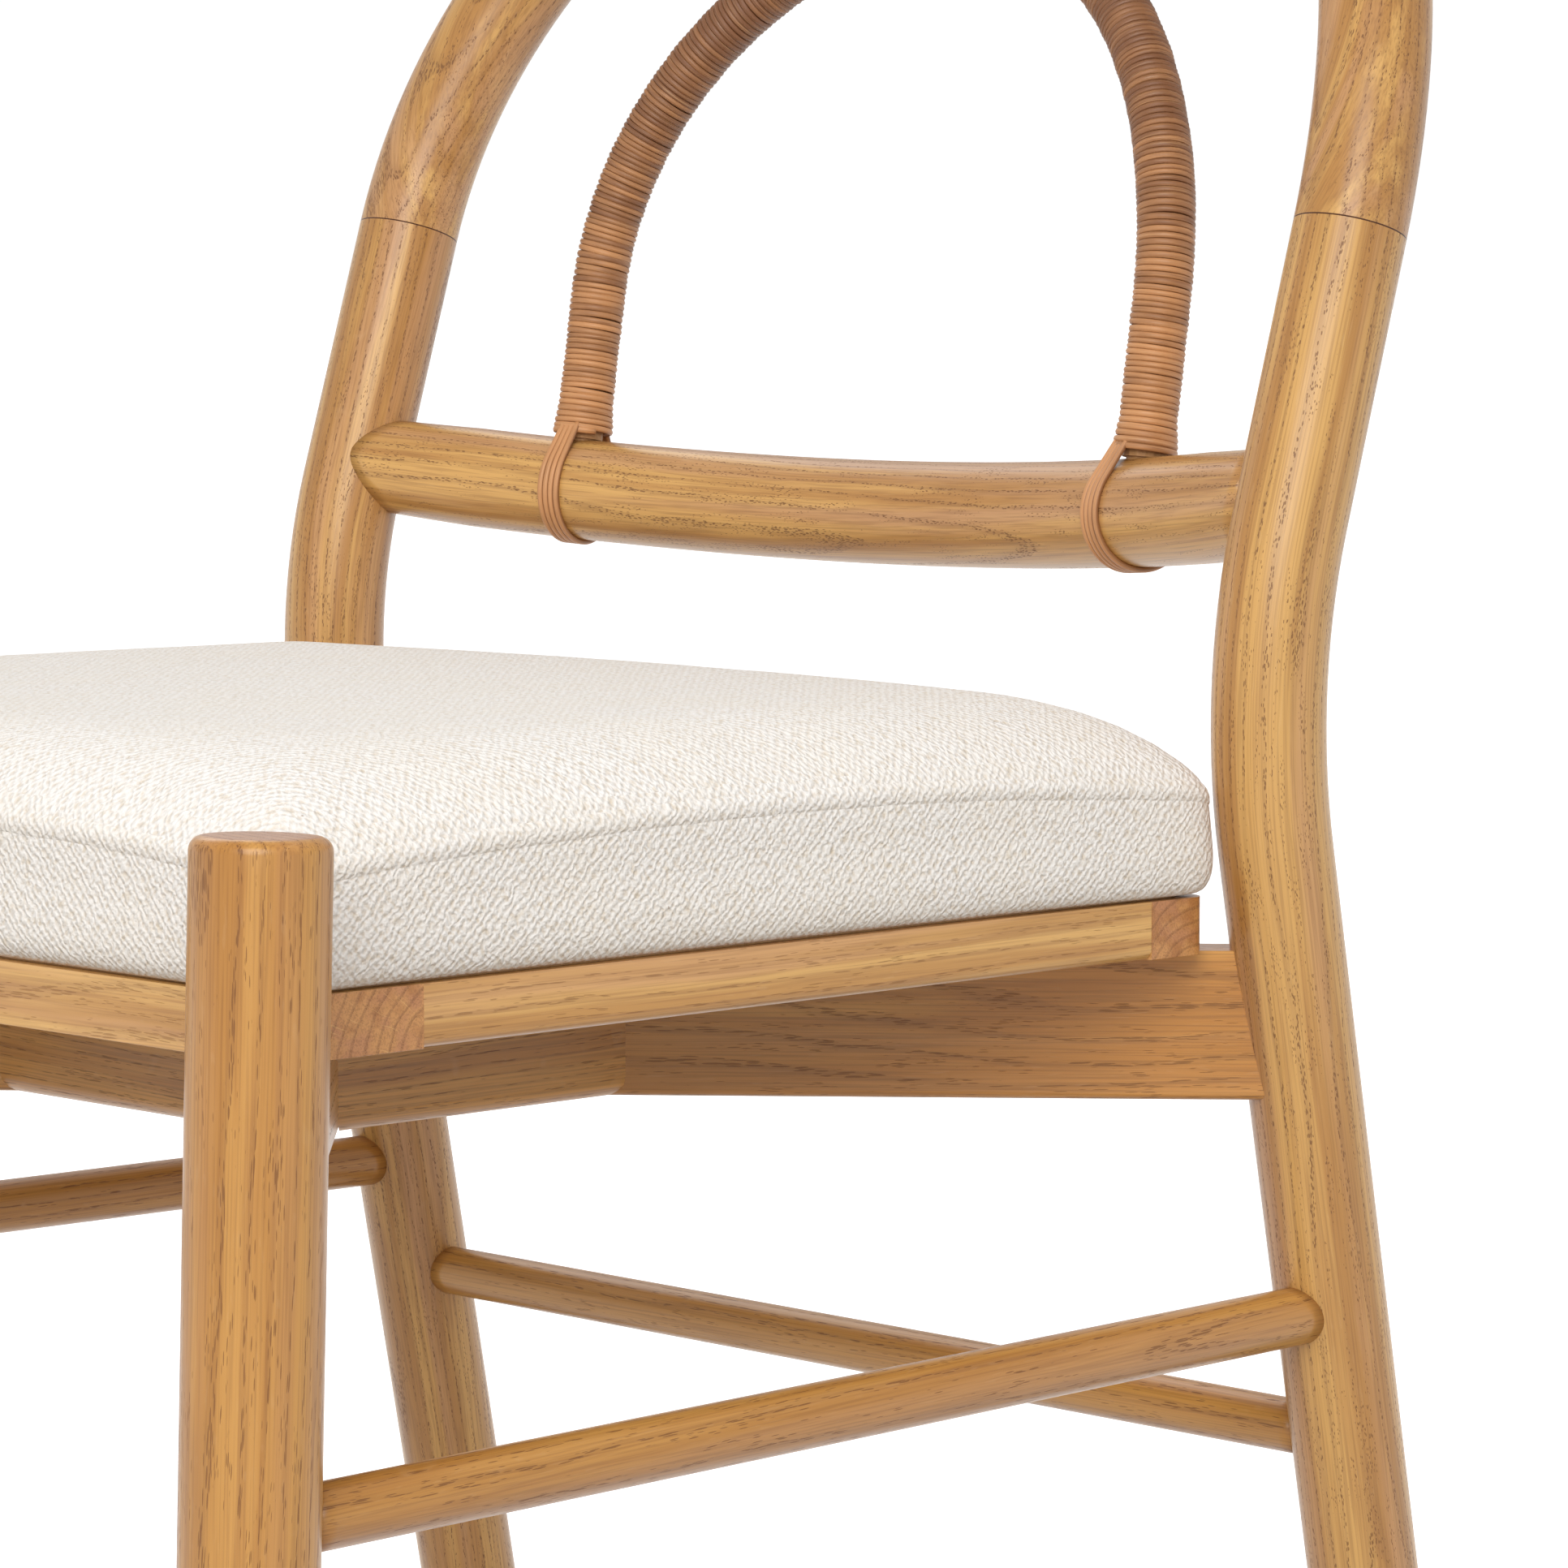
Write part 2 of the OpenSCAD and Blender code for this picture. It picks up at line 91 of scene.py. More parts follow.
# part.scad measures these from its seat and then moves everything by SHIFT_Y
FRAME_Y, KNEE_Y, KNEE_Z = -195 * MM, 199 * MM, 496 * MM
SHIFT_Y = FRONT[0][1] - FRAME_Y
KNEE = np.array([0, KNEE_Y + SHIFT_Y, KNEE_Z])
LEG_Y = -227 * MM + SHIFT_Y
X, Y, Z = np.eye(3)
UP = np.array([0, math.sin(LEAN), math.cos(LEAN)])
BACK = np.array([0, math.cos(LEAN), -math.sin(LEAN)])
ARCH_UP = np.array([0, math.sin(ARCH_LEAN), math.cos(ARCH_LEAN)])
ARCH_BACK = np.array([0, math.cos(ARCH_LEAN), -math.sin(ARCH_LEAN)])
BOW_R = (POST_X ** 2 + BOW ** 2) / (2 * BOW)
JOINT = KNEE + UPPER_LEN * UP
RAIL_END = KNEE + RAIL_HEIGHT * UP


def unit(v):
    return v / np.linalg.norm(v, axis=-1, keepdims=True)


def bow(s):
    return np.sqrt(BOW_R ** 2 - s ** 2) - (BOW_R - BOW)


ARCH_FOOT = RAIL_END + bow(ARCH_R) * BACK + RAIL_R * ARCH_UP


def leg_axis(z, side=1):
    return np.array([side * LEG_X, LEG_Y + (z - FRAME_Z) * math.tan(LEG_RAKE), z])


def post_axis(z, side=1):
    return np.array([side * POST_X, KNEE[1] + (KNEE[2] - z) * math.tan(POST_RAKE), z])


# -------- paths: s in metres -> points
def straight_path(a, b):
    along = unit(b - a)
    return lambda s: a + np.outer(s, along)


def post_path(side):
    """Raked foot, round bend, leaning upper part; also gives the length up to the hoop."""
    half = (POST_RAKE + LEAN) / 2
    middle = KNEE + side * POST_X * X + KNEE_R / math.cos(half) * unit(np.array(
        [0, math.sin(LEAN) + math.sin(POST_RAKE), math.cos(LEAN) - math.cos(POST_RAKE)]))

    def on_bend(a):
        return middle + KNEE_R * np.stack([0 * a, -np.cos(a), np.sin(a)], -1)

    foot = post_axis(0, side)
    lower = np.linalg.norm(on_bend(np.array(-POST_RAKE)) - foot)
    bend = KNEE_R * (POST_RAKE + LEAN)
    top = on_bend(np.array(LEAN))
    upper = np.linalg.norm(JOINT + side * POST_X * X - top)
    down_dir = unit(on_bend(np.array(-POST_RAKE)) - foot)

    def point(s):
        low = foot + np.outer(s, down_dir)
        mid = on_bend(-POST_RAKE + (s - lower) / KNEE_R)
        high = top + np.outer(s - lower - bend, UP)
        s = s[:, None]
        return np.where(s < lower, low, np.where(s < lower + bend, mid, high))

    return point, lower + bend + upper


def hoop_path(s):
    a = s / POST_X
    return (JOINT + np.outer(POST_X * np.cos(a), X) + np.outer(POST_X * np.sin(a), UP)
            + np.outer(bow(POST_X * np.cos(a)), BACK))


def rail_path(s):
    return RAIL_END + np.outer(s, X) + np.outer(bow(np.clip(s, -POST_X, POST_X)), BACK)


def arch_path(s):
    """From the right foot, over the top, to the left foot."""
    turn = math.pi * ARCH_R
    a = np.clip((s - ARCH_STRAIGHT) / ARCH_R, 0, math.pi)
    across = ARCH_R * np.cos(a)
    rise = ARCH_R * np.sin(a) + np.minimum(s, ARCH_STRAIGHT) - np.maximum(s - ARCH_STRAIGHT - turn, 0)
    start = np.array([0, ARCH_FOOT[1], ARCH_FOOT[2]])
    depth = ARCH_BOW * (bow(across) - bow(ARCH_R))
    return start + np.outer(across, X) + np.outer(rise, ARCH_UP) + np.outer(depth, ARCH_BACK)


ARCH_LEN = 2 * ARCH_STRAIGHT + math.pi * ARCH_R


def frames(path, facing, s):
    """Points of a path with the two directions across it."""
    along = unit(path(s + STEP) - path(s - STEP))
    side = unit(np.cross(along, facing))
    return path(s), side, np.cross(side, along)


# -------- meshes
def mesh_object(name, points, faces, material, smooth=True):
    mesh = bpy.data.meshes.new(name)
    mesh.from_pydata([tuple(p) for p in points], [], [tuple(f) for f in faces])
    mesh.validate()
    mesh.materials.append(material)
    mesh.shade_smooth() if smooth else mesh.shade_flat()
    obj = bpy.data.objects.new(name, mesh)
    bpy.context.scene.collection.objects.link(obj)
    return obj


def dress(obj, material):
    obj.data.materials.clear()
    obj.data.materials.append(material)


def set_vectors(obj, name, values, domain="POINT"):
    data = obj.data.attributes.new(name, "FLOAT_VECTOR", domain).data
    data.foreach_set("vector", np.asarray(values, np.float32).ravel())


def set_floats(obj, name, values, domain="POINT"):
    data = obj.data.attributes.new(name, "FLOAT", domain).data
    data.foreach_set("value", np.asarray(values, np.float32).ravel())


def tube_faces(rings, sides, capped=True):
    """Quads of a tube whose points run ring by ring, with a middle point for each end."""
    faces = []
    for i in range(rings - 1):
        for k in range(sides):
            n = (k + 1) % sides
            faces.append((i * sides + k, i * sides + n, (i + 1) * sides + n, (i + 1) * sides + k))
    if capped:
        first, last = rings * sides, rings * sides + 1
        for k in range(sides):
            n = (k + 1) % sides
            faces.append((n, k, first))
            faces.append(((rings - 1) * sides + k, (rings - 1) * sides + n, last))
    return faces


def finish_piece(obj, slot, *nodes):
    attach(obj, "root")
    if nodes:
        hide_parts(*nodes)


def in_bar(point, along, radius):
    along = unit(along)
    return lambda p: np.linalg.norm(np.cross(p - point, along), axis=1) < radius


def below(z):
    return lambda p: p[:, 2] < z


def reach(place, inside, s_in, s_out):
    """For each side of a bar, the place between s_in and s_out where it leaves a neighbour."""
    if inside is None:
        return s_in
    a, b = s_in, s_out
    for _ in range(30):
        mid = (a + b) / 2
        hit = inside(place(mid))
        a, b = np.where(hit, mid, a), np.where(hit, b, mid)
    return (a + b) / 2


class Grain:
    """How a piece was cut from its tree: the pith's place, its turn and its slant."""

    def __init__(self, seed, away=(45, 85), turn=None, slant=0.02, bend=lambda w: 0):
        rng = random.Random(seed)
        self.turn = rng.uniform(0, 2 * math.pi) if turn is None else math.radians(turn)
        self.pith = rng.uniform(*away) * MM
        self.slant = (rng.uniform(-slant, slant), rng.uniform(-slant, slant))
        self.start = rng.uniform(0, 3)
        self.bend = bend

    def at(self, a, b, w):
        a = a + self.bend(w)
        c, s = math.cos(self.turn), math.sin(self.turn)
        return np.stack([a * c - b * s + self.pith + self.slant[0] * w,
                         a * s + b * c + self.slant[1] * w, w + self.start], -1)


def rim_rings(end, radius, rim, inward):
    """Places and scales of the rings that round a flat end."""
    steps = [math.radians(a) for a in (15, 30, 45, 60, 75, 90)]
    rings = [(end - inward * rim * (1 - math.sin(a)), 1 - rim / radius * (1 - math.cos(a))) for a in steps]
    inner = 1 - rim / radius
    return rings + [(end, inner * f) for f in (0.75, 0.5, 0.25)]


def member(name, path, facing, radius, span, grain, material, slot="oak", spacing=7 * MM,
           taper=None, rims=(0.3 * MM, 0.3 * MM), stops=(None, None), nodes=()):
    """A round wooden bar along a path. Its ends stop at its neighbours' surfaces."""
    s0, s1 = span
    count = max(2, round((s1 - s0) / spacing))
    rings = [(s0 + rims[0] + (s1 - s0 - rims[0] - rims[1]) * i / count, 1) for i in range(count + 1)]
    if stops[0] is None:
        rings = rim_rings(s0, radius, rims[0], -1)[::-1] + rings
    if stops[1] is None:
        rings = rings + rim_rings(s1, radius, rims[1], 1)
    turn = np.arange(SIDES) * 2 * math.pi / SIDES
    a, b = radius * np.cos(turn), radius * np.sin(turn)
    width = taper or (lambda s: 1)

    def place(s, scale=1):
        p, side, out = frames(path, facing, s)
        return p + side * (a * scale * width(s[0]))[:, None] + out * (b * scale * width(s[0]))[:, None]

    glued = max(rims) < MM
    ones = np.ones(SIDES)
    middle = (s0 + s1) / 2 * ones
    start = reach(place, stops[0], s0 * ones, middle)
    end = reach(place, stops[1], s1 * ones, middle)
    points, grains = [], []
    for s, scale in rings:
        along = start + (s - s0) * (end - start) / (s1 - s0)
        points.append(place(along, scale))
        grains.append(grain.at(a * scale, b * scale, along))
    points, grains = np.array(points), np.array(grains)
    caps = np.array([points[0].mean(0), points[-1].mean(0)])
    cap_grains = np.array([grains[0].mean(0), grains[-1].mean(0)])
    obj = mesh_object(name, np.concatenate([points.reshape(-1, 3), caps]),
                      tube_faces(len(rings), SIDES), material)
    set_vectors(obj, "grain", np.concatenate([grains.reshape(-1, 3), cap_grains]))
    # 0 on the side, 1 on end grain and 2 on the dark rim of a glued joint
    ends = np.zeros(len(obj.data.vertices))
    for i, (s, scale) in enumerate(rings):
        ends[i * SIDES:(i + 1) * SIDES] = 0 if scale == 1 else 2 if glued else scale < 0.8
    ends[-2:] = 1
    set_floats(obj, "end", ends)
    finish_piece(obj, slot, *nodes)


def rounded_bar(outline, z0, z1, rounds):
    """A flat outline extruded upwards; rounds lists (which edges, radius)."""
    bm = bmesh.new()
    low = [bm.verts.new((x, y, z0)) for x, y in outline]
    face = bm.faces.new(low[::-1])
    made = bmesh.ops.extrude_face_region(bm, geom=[face])
    top = [v for v in made["geom"] if isinstance(v, bmesh.types.BMVert)]
    bmesh.ops.translate(bm, verts=top, vec=(0, 0, z1 - z0))
    bmesh.ops.recalc_face_normals(bm, faces=bm.faces)
    for chosen, radius in rounds:
        edges = [e for e in bm.edges if e.calc_length() > 2 * MM and chosen(e)]
        bmesh.ops.bevel(bm, geom=edges, offset=radius, segments=4, profile=0.5, affect="EDGES",
                        clamp_overlap=True)
    return bm


def bm_object(name, bm):
    mesh = bpy.data.meshes.new(name)
    bm.to_mesh(mesh)
    bm.free()
    obj = bpy.data.objects.new(name, mesh)
    bpy.context.scene.collection.objects.link(obj)
    return obj


def cut_away(obj, cutters):
    """Takes each cutter's shape out of a piece, and removes the cutters."""
    for cutter in cutters:
        mod = obj.modifiers.new("cut", "BOOLEAN")
        mod.operation, mod.solver, mod.object = "DIFFERENCE", "EXACT", cutter
    bake_modifiers(obj)
    for cutter in cutters:
        bpy.data.objects.remove(cutter)


def bake_modifiers(obj):
    """Makes what the modifiers show the piece's own mesh."""
    graph = bpy.context.evaluated_depsgraph_get()
    mesh = bpy.data.meshes.new_from_object(obj.evaluated_get(graph), depsgraph=graph)
    obj.modifiers.clear()
    obj.data = mesh


def timber(name, bm, along, up, grain, material, cutters=(), nodes=()):
    """A flat piece of wood, with its grain along one direction."""
    obj = bm_object(name, bm)
    obj.data.materials.append(material)
    if cutters:
        cut_away(obj, cutters)
    obj.data.shade_smooth()
    obj.data.set_sharp_from_angle(angle=math.radians(40))
    mod = obj.modifiers.new("normals", "WEIGHTED_NORMAL")
    mod.keep_sharp = True
    bake_modifiers(obj)
    co = np.array([v.co for v in obj.data.vertices])
    across = np.cross(up, along)
    middle = co.mean(0)
    local = co - middle
    set_vectors(obj, "grain", grain.at(local @ across, local @ up, local @ along))
    ends = np.zeros(len(obj.data.loops))
    for poly in obj.data.polygons:
        ends[list(poly.loop_indices)] = 1 if abs(np.dot(poly.normal, along)) > 0.75 else 0
    set_floats(obj, "end", ends, "CORNER")
    finish_piece(obj, "oak", *nodes)


def cutter_bar(a, b, radius):
    """A plain round bar that cuts another piece and is then removed."""
    path = straight_path(a, b)
    length = np.linalg.norm(b - a)
    turn = np.arange(SIDES) * 2 * math.pi / SIDES
    points = []
    for s in (0, length):
        p, side, out = frames(path, X, np.array([s]))
        points.append(p + np.outer(np.cos(turn), side[0]) * radius
                      + np.outer(np.sin(turn), out[0]) * radius)
    points = np.concatenate(points)
    caps = [tuple(range(SIDES))[::-1], tuple(range(SIDES, 2 * SIDES))]
    faces = tube_faces(2, SIDES, capped=False) + caps
    return mesh_object("cutter", points, faces, bpy.data.materials.new("cut"))


def cutter_block(corners, z0, z1):
    return bm_object("cutter", rounded_bar(corners, z0, z1, []))


# -------- material building blocks
class Shader:
    """A material's node tree, with short calls for the nodes that are used here."""

    def __init__(self, name):
        self.material = bpy.data.materials.new(name)
        self.material.use_nodes = True
        self.tree = self.material.node_tree
        self.bsdf = self.tree.nodes["Principled BSDF"]

    def put(self, kind, inputs=(), out=0, **settings):
        node = self.tree.nodes.new("ShaderNode" + kind)
        for key, value in settings.items():
            setattr(node, key, value)
        for key, value in dict(inputs).items():
            self.plug(node, key, value)
        return node.outputs[out]

    def plug(self, node, key, value):
        if isinstance(value, bpy.types.NodeSocket):
            self.tree.links.new(value, node.inputs[key])
        else:
            node.inputs[key].default_value = value

    def set(self, **values):
        for key, value in values.items():
            self.plug(self.bsdf, key.replace("_", " "), value)

    def attribute(self, name, out="Vector"):
        return self.put("Attribute", out=out, attribute_name=name)

    def math(self, op, a, b=0.0, c=0.0):
        return self.put("Math", {0: a, 1: b, 2: c}, operation=op)

    def vector(self, op, a, b=(0, 0, 0), out=0):
        return self.put("VectorMath", {0: a, 1: b}, out=out, operation=op)

    def scaled(self, v, factors):
        return self.vector("MULTIPLY", v, factors)

    def noise(self, v, scale=1.0, detail=2.0, rough=0.5, out=0):
        inputs = {"Vector": v, "Scale": scale, "Detail": detail, "Roughness": rough}
        return self.put("TexNoise", inputs, out=out)

    def cells(self, v, scale=1.0, out="Distance"):
        return self.put("TexVoronoi", {"Vector": v, "Scale": scale}, out=out)

    def span(self, v, low, high, to_low=0.0, to_high=1.0):
        return self.put("MapRange", {"Value": v, "From Min": low, "From Max": high,
                                     "To Min": to_low, "To Max": to_high}, interpolation_type="SMOOTHSTEP")

    def mix(self, fac, a, b, blend="MIX"):
        return self.put("Mix", {0: fac, 6: a, 7: b}, out=2, data_type="RGBA", blend_type=blend)

    def bump(self, height, distance, strength=1.0, under=None):
        inputs = {"Height": height, "Distance": distance, "Strength": strength}
        if under is not None:
            inputs["Normal"] = under
        return self.put("Bump", inputs)


def rgb(r, g, b):
    """A colour given as it looks on a screen, 0 to 255."""
    def linear(c):
        c /= 255
        return c / 12.92 if c < 0.04045 else ((c + 0.055) / 1.055) ** 2.4
    return (linear(r), linear(g), linear(b), 1)


def oak(name, light, dark, blush, pore, ring, pore_len=3.2 * MM, open_pores=0.68):
    """Lacquered oak: broad colour bands, growth rings, chains of open pores and rays."""
    m = Shader(name)
    # Noise scales are per metre: twice across the grain, then along it
    grain = m.attribute("grain")
    end = m.attribute("end", "Fac")
    warp = m.noise(m.scaled(grain, (16, 16, 2.6)), detail=2, out=1)
    ripple = m.noise(m.scaled(grain, (120, 120, 26)), detail=2, out=1)
    half = (0.5, 0.5, 0.5)
    bent = m.vector("ADD", grain, m.scaled(m.vector("SUBTRACT", warp, half), (0.022, 0.022, 0)))
    bent = m.vector("ADD", bent, m.scaled(m.vector("SUBTRACT", ripple, half), (0.0016, 0.0016, 0)))
    away = m.vector("LENGTH", m.scaled(bent, (1, 1, 0)), out=1)
    phase = m.math("FRACT", m.math("DIVIDE", away, ring))
    early = m.math("MULTIPLY", m.span(phase, 0.0, 0.05), m.span(phase, 0.18, 0.34, 1, 0))
    vessels = m.math("MULTIPLY", m.span(phase, 0.0, 0.03), m.span(phase, 0.14, 0.27, 1, 0))
    late = m.span(phase, 0.35, 1.0)
    fibre = m.noise(m.scaled(grain, (1500, 1500, 18)), detail=2)
    patch = m.noise(m.scaled(grain, (30, 30, 2.2)), detail=1)
    streak = m.noise(m.scaled(bent, (150, 150, 2.5)), detail=3)
    warm = m.noise(m.scaled(bent, (90, 90, 1.6)), detail=2)
    pores = m.cells(m.scaled(bent, (1950, 1950, 1 / pore_len)))
    gather = m.noise(m.scaled(grain, (160, 160, 22)), detail=1)
    room = m.math("MULTIPLY", vessels, m.span(gather, 0.28, 0.52, 0.27, 0.42))
    stray = m.span(m.noise(m.scaled(grain, (420, 420, 40)), detail=0), 0.42, 0.72, 0, 0.30)
    pored = m.span(m.math("SUBTRACT", m.math("MAXIMUM", room, stray), pores), -0.03, 0.05)
    split = m.put("SeparateXYZ", {0: bent}).node
    angle = m.math("ARCTAN2", split.outputs[1], split.outputs[0])
    polar = m.put("CombineXYZ", {0: m.math("MULTIPLY", angle, 90.0), 1: m.math("MULTIPLY", away, 60.0),
                                 2: m.math("MULTIPLY", split.outputs[2], 110.0)})
    rays = m.span(m.noise(polar, detail=1), 0.64, 0.76)
    tone = m.math("ADD", m.math("MULTIPLY", patch, 0.5), m.math("MULTIPLY", streak, 0.5))
    wood = m.mix(m.span(tone, 0.43, 0.57), dark, light)
    wood = m.mix(m.span(warm, 0.48, 0.66, 0, 0.75), wood, blush)
    wood = m.mix(m.math("MULTIPLY", early, 0.20), wood, pore)
    wood = m.mix(m.math("MULTIPLY", late, 0.16), wood, dark)
    wood = m.mix(m.span(fibre, 0.42, 0.68, 0, 0.32), wood, pore)
    wood = m.mix(m.math("MULTIPLY", rays, 0.07), wood, m.mix(0.4, light, (1, 0.86, 0.62, 1)))
    in_end = m.span(end, 0.1, 0.9)
    rings_end = m.mix(1.0, wood, rgb(230, 208, 208), "MULTIPLY")
    rings_end = m.mix(m.math("MULTIPLY", early, 0.24), rings_end, pore)
    rings_end = m.mix(m.math("MULTIPLY", rays, 0.38), rings_end, light)
    wood = m.mix(m.math("MULTIPLY", in_end, 0.9), wood, rings_end)
    wood = m.mix(m.math("MULTIPLY", pored, open_pores), wood, m.mix(0.45, pore, rgb(88, 52, 26)))
    wood = m.mix(m.span(end, 1.2, 1.9, 0, 0.85), wood, rgb(74, 46, 28))
    height = m.math("SUBTRACT", m.math("MULTIPLY", fibre, 0.10), pored)
    m.set(Base_Color=wood, Normal=m.bump(height, 0.00014, 0.6),
          Roughness=m.math("ADD", m.math("MULTIPLY", pored, 0.25), 0.36))
    m.set(Coat_Weight=0.25, Coat_Roughness=0.25, Specular_IOR_Level=0.35)
    return m.material


def rattan(name, light, dark):
    """Peeled rattan: fine lengthwise fibres, with each turn of the strand in its own tone."""
    m = Shader(name)
    strand = m.attribute("strand")
    tone = m.attribute("tone", "Fac")
    fibre = m.noise(m.scaled(strand, (4.0, 26, 1)), detail=3, rough=0.6)
    blotch = m.noise(m.scaled(strand, (0.5, 70, 1)), detail=2)
    across = m.put("SeparateXYZ", {0: strand})
    # Painted shade: each strand darkens towards its two edges, where it meets the next turn or the next
    # strand
    groove_shade = m.span(m.math("ABSOLUTE", across), 0.72, 1.0)
    colour = m.mix(m.span(m.math("ADD", m.math("MULTIPLY", blotch, 0.7), tone), 0.35, 1.35), dark, light)
    colour = m.mix(m.span(fibre, 0.50, 0.75, 0, 0.40), colour, rgb(120, 72, 40))
    colour = m.mix(m.span(fibre, 0.25, 0.45, 0.35, 0), colour, rgb(236, 190, 136))
    colour = m.mix(m.math("MULTIPLY", groove_shade, 0.55), colour, rgb(88, 50, 26))
    m.set(Base_Color=colour, Normal=m.bump(fibre, 0.00025, 0.5), Specular_IOR_Level=0.5,
          Roughness=m.span(fibre, 0.2, 0.8, 0.36, 0.55))
    return m.material


def weave_height(m, cloth, pitch):
    """Staggered rows of soft knots, as where thick yarns cross in a loose weave."""
    wander = m.noise(cloth, scale=230.0, detail=2, rough=0.6, out=1)
    placed = m.vector("ADD", m.scaled(cloth, (1 / pitch,) * 3),
                      m.scaled(m.vector("SUBTRACT", wander, (0.5, 0.5, 0.5)), (1.3, 1.3, 0)))
    split = m.put("SeparateXYZ", {0: placed}).node
    waves = [m.math("COSINE", m.math("MULTIPLY", split.outputs[i], 2 * math.pi)) for i in (0, 1)]
    return m.math("MULTIPLY_ADD", m.math("MULTIPLY", *waves), 0.5, 0.5)


def fabric(name):
    """Thick cream cloth of hand-spun yarn, with hairs and a few brown flecks."""
    m = Shader(name)
    cloth = m.attribute("cloth")
    height = weave_height(m, cloth, 3.4 * MM)
    fuzz = m.noise(cloth, scale=1500.0, detail=3, rough=0.7)
    slub = m.noise(m.scaled(cloth, (420, 520, 420)), detail=2)
    broad = m.noise(cloth, scale=20.0, detail=2)
    fleck = m.cells(m.scaled(cloth, (90, 60, 90)))
    warmth = m.noise(cloth, scale=300.0, detail=3, rough=0.6)
    # Painted shade and highlight: the cloth is lighter on the raised knots of the weave and darker in the
    # hollows between them; the slub noise adds the yarn's own uneven tone
    weave_shade_and_slub = m.math("ADD", m.math("MULTIPLY", height, 0.42), m.math("MULTIPLY", slub, 0.8))
    colour = m.mix(m.span(weave_shade_and_slub, 0.22, 0.72), rgb(224, 212, 197), rgb(245, 241, 236))
    colour = m.mix(m.span(warmth, 0.52, 0.72, 0, 0.5), colour, rgb(214, 196, 168))
    colour = m.mix(m.span(broad, 0.4, 0.62, 0, 0.12), colour, rgb(240, 228, 208))
    colour = m.mix(m.span(fleck, 0.015, 0.045, 0.6, 0), colour, rgb(150, 118, 84))
    rough = m.math("ADD", m.math("MULTIPLY", fuzz, 0.45), m.math("MULTIPLY", slub, 0.7))
    m.set(Base_Color=colour, Normal=m.bump(m.math("ADD", height, rough), 0.0013, 0.55))
    m.set(Roughness=0.95, Sheen_Weight=0.12, Sheen_Roughness=0.5, Specular_IOR_Level=0.15)
    return m.material


def plain(name, colour, second, scale, rough, bump, metal=0.0):
    """A finish of two close colours in a fine mottle, for pieces that hardly show."""
    m = Shader(name)
    place = m.put("TexCoord", out="Object")
    mottle = m.noise(place, scale=scale, detail=4, rough=0.6)
    wide = m.noise(place, scale=scale / 12, detail=2)
    tone = m.math("ADD", m.math("MULTIPLY", mottle, 0.6), m.math("MULTIPLY", wide, 0.4))
    m.set(Base_Color=m.mix(m.span(tone, 0.35, 0.65), colour, second), Metallic=metal,
          Roughness=m.span(mottle, 0.2, 0.8, rough - 0.08, rough + 0.08), Normal=m.bump(mottle, bump, 0.5))
    return m.material


def plywood(name):
    """Thin plies in two tones, with fibres along the panel."""
    m = Shader(name)
    place = m.put("TexCoord", out="Object")
    layers = m.put("SeparateXYZ", {0: place}, out=2)
    ply = m.span(m.math("SINE", m.math("MULTIPLY", layers, 2 * math.pi / (3 * MM))), -0.3, 0.3)
    fibre = m.noise(m.scaled(place, (30, 700, 700)), detail=3)
    layered = m.mix(ply, rgb(196, 158, 110), rgb(222, 190, 144))
    colour = m.mix(m.span(fibre, 0.3, 0.7, 0, 0.4), layered, rgb(168, 124, 78))
    m.set(Base_Color=colour, Normal=m.bump(fibre, 0.0001, 0.4), Roughness=0.7)
    return m.material


# -------- wooden pieces
LIGHT_OAK = dict(light=rgb(212, 164, 95), dark=rgb(180, 129, 69), blush=rgb(196, 147, 101),
                 pore=rgb(124, 80, 42))
PALE_OAK = dict(light=rgb(226, 178, 106), dark=rgb(196, 144, 78), blush=rgb(212, 160, 108),
                pore=rgb(140, 90, 46))
WARM_OAK = dict(light=rgb(200, 146, 74), dark=rgb(182, 126, 58), blush=rgb(190, 136, 78),
                pore=rgb(128, 78, 34))
DEEP_OAK = dict(light=rgb(212, 154, 77), dark=rgb(185, 126, 57), blush=rgb(194, 137, 73),
                pore=rgb(112, 70, 32))
post_oak = oak("oak_post", ring=3.8 * MM, pore_len=2.0 * MM, open_pores=0.75, **LIGHT_OAK)
hoop_oak = oak("oak_hoop", ring=3.6 * MM, pore_len=2.6 * MM, open_pores=0.75, **LIGHT_OAK)
leg_oak = oak("oak_leg", ring=5.5 * MM, pore_len=8 * MM, **WARM_OAK)
bar_oak = oak("oak_stretcher", ring=4 * MM, pore_len=8 * MM, **WARM_OAK)
frame_oak = oak("oak_frame", ring=4.5 * MM, pore_len=9 * MM, open_pores=0.42, **PALE_OAK)
under_oak = oak("oak_underframe", ring=3.5 * MM, pore_len=9 * MM, open_pores=0.55, **DEEP_OAK)


def side_name(side):
    return "right" if side > 0 else "left"


def make_legs():
    for side, seed in ((1, 11), (-1, 12)):
        a, b = leg_axis(0, side), leg_axis(LEG_TOP, side)
        length = np.linalg.norm(b - a)
        name = "front_leg_" + side_name(side)
        member(name + "_turned", straight_path(a, b), X, LEG_R, (0, length), Grain(seed, slant=0.012),
               leg_oak, rims=(0, LEG_RIM), stops=(below(GLIDE_H), None), nodes=[name])


def make_posts():
    foot = POST_FOOT_R / POST_R
    for side, seed in ((1, 21), (-1, 22)):
        path, length = post_path(side)
        name = "rear_post_" + side_name(side)
        member(name + "_bent", path, X, POST_R, (0, length), Grain(seed, slant=0.03), post_oak,
               taper=lambda s: min(1, foot + (1 - foot) * s / POST_TAPER),
               rims=(0, 0.3 * MM), stops=(below(GLIDE_H), None), nodes=[name])


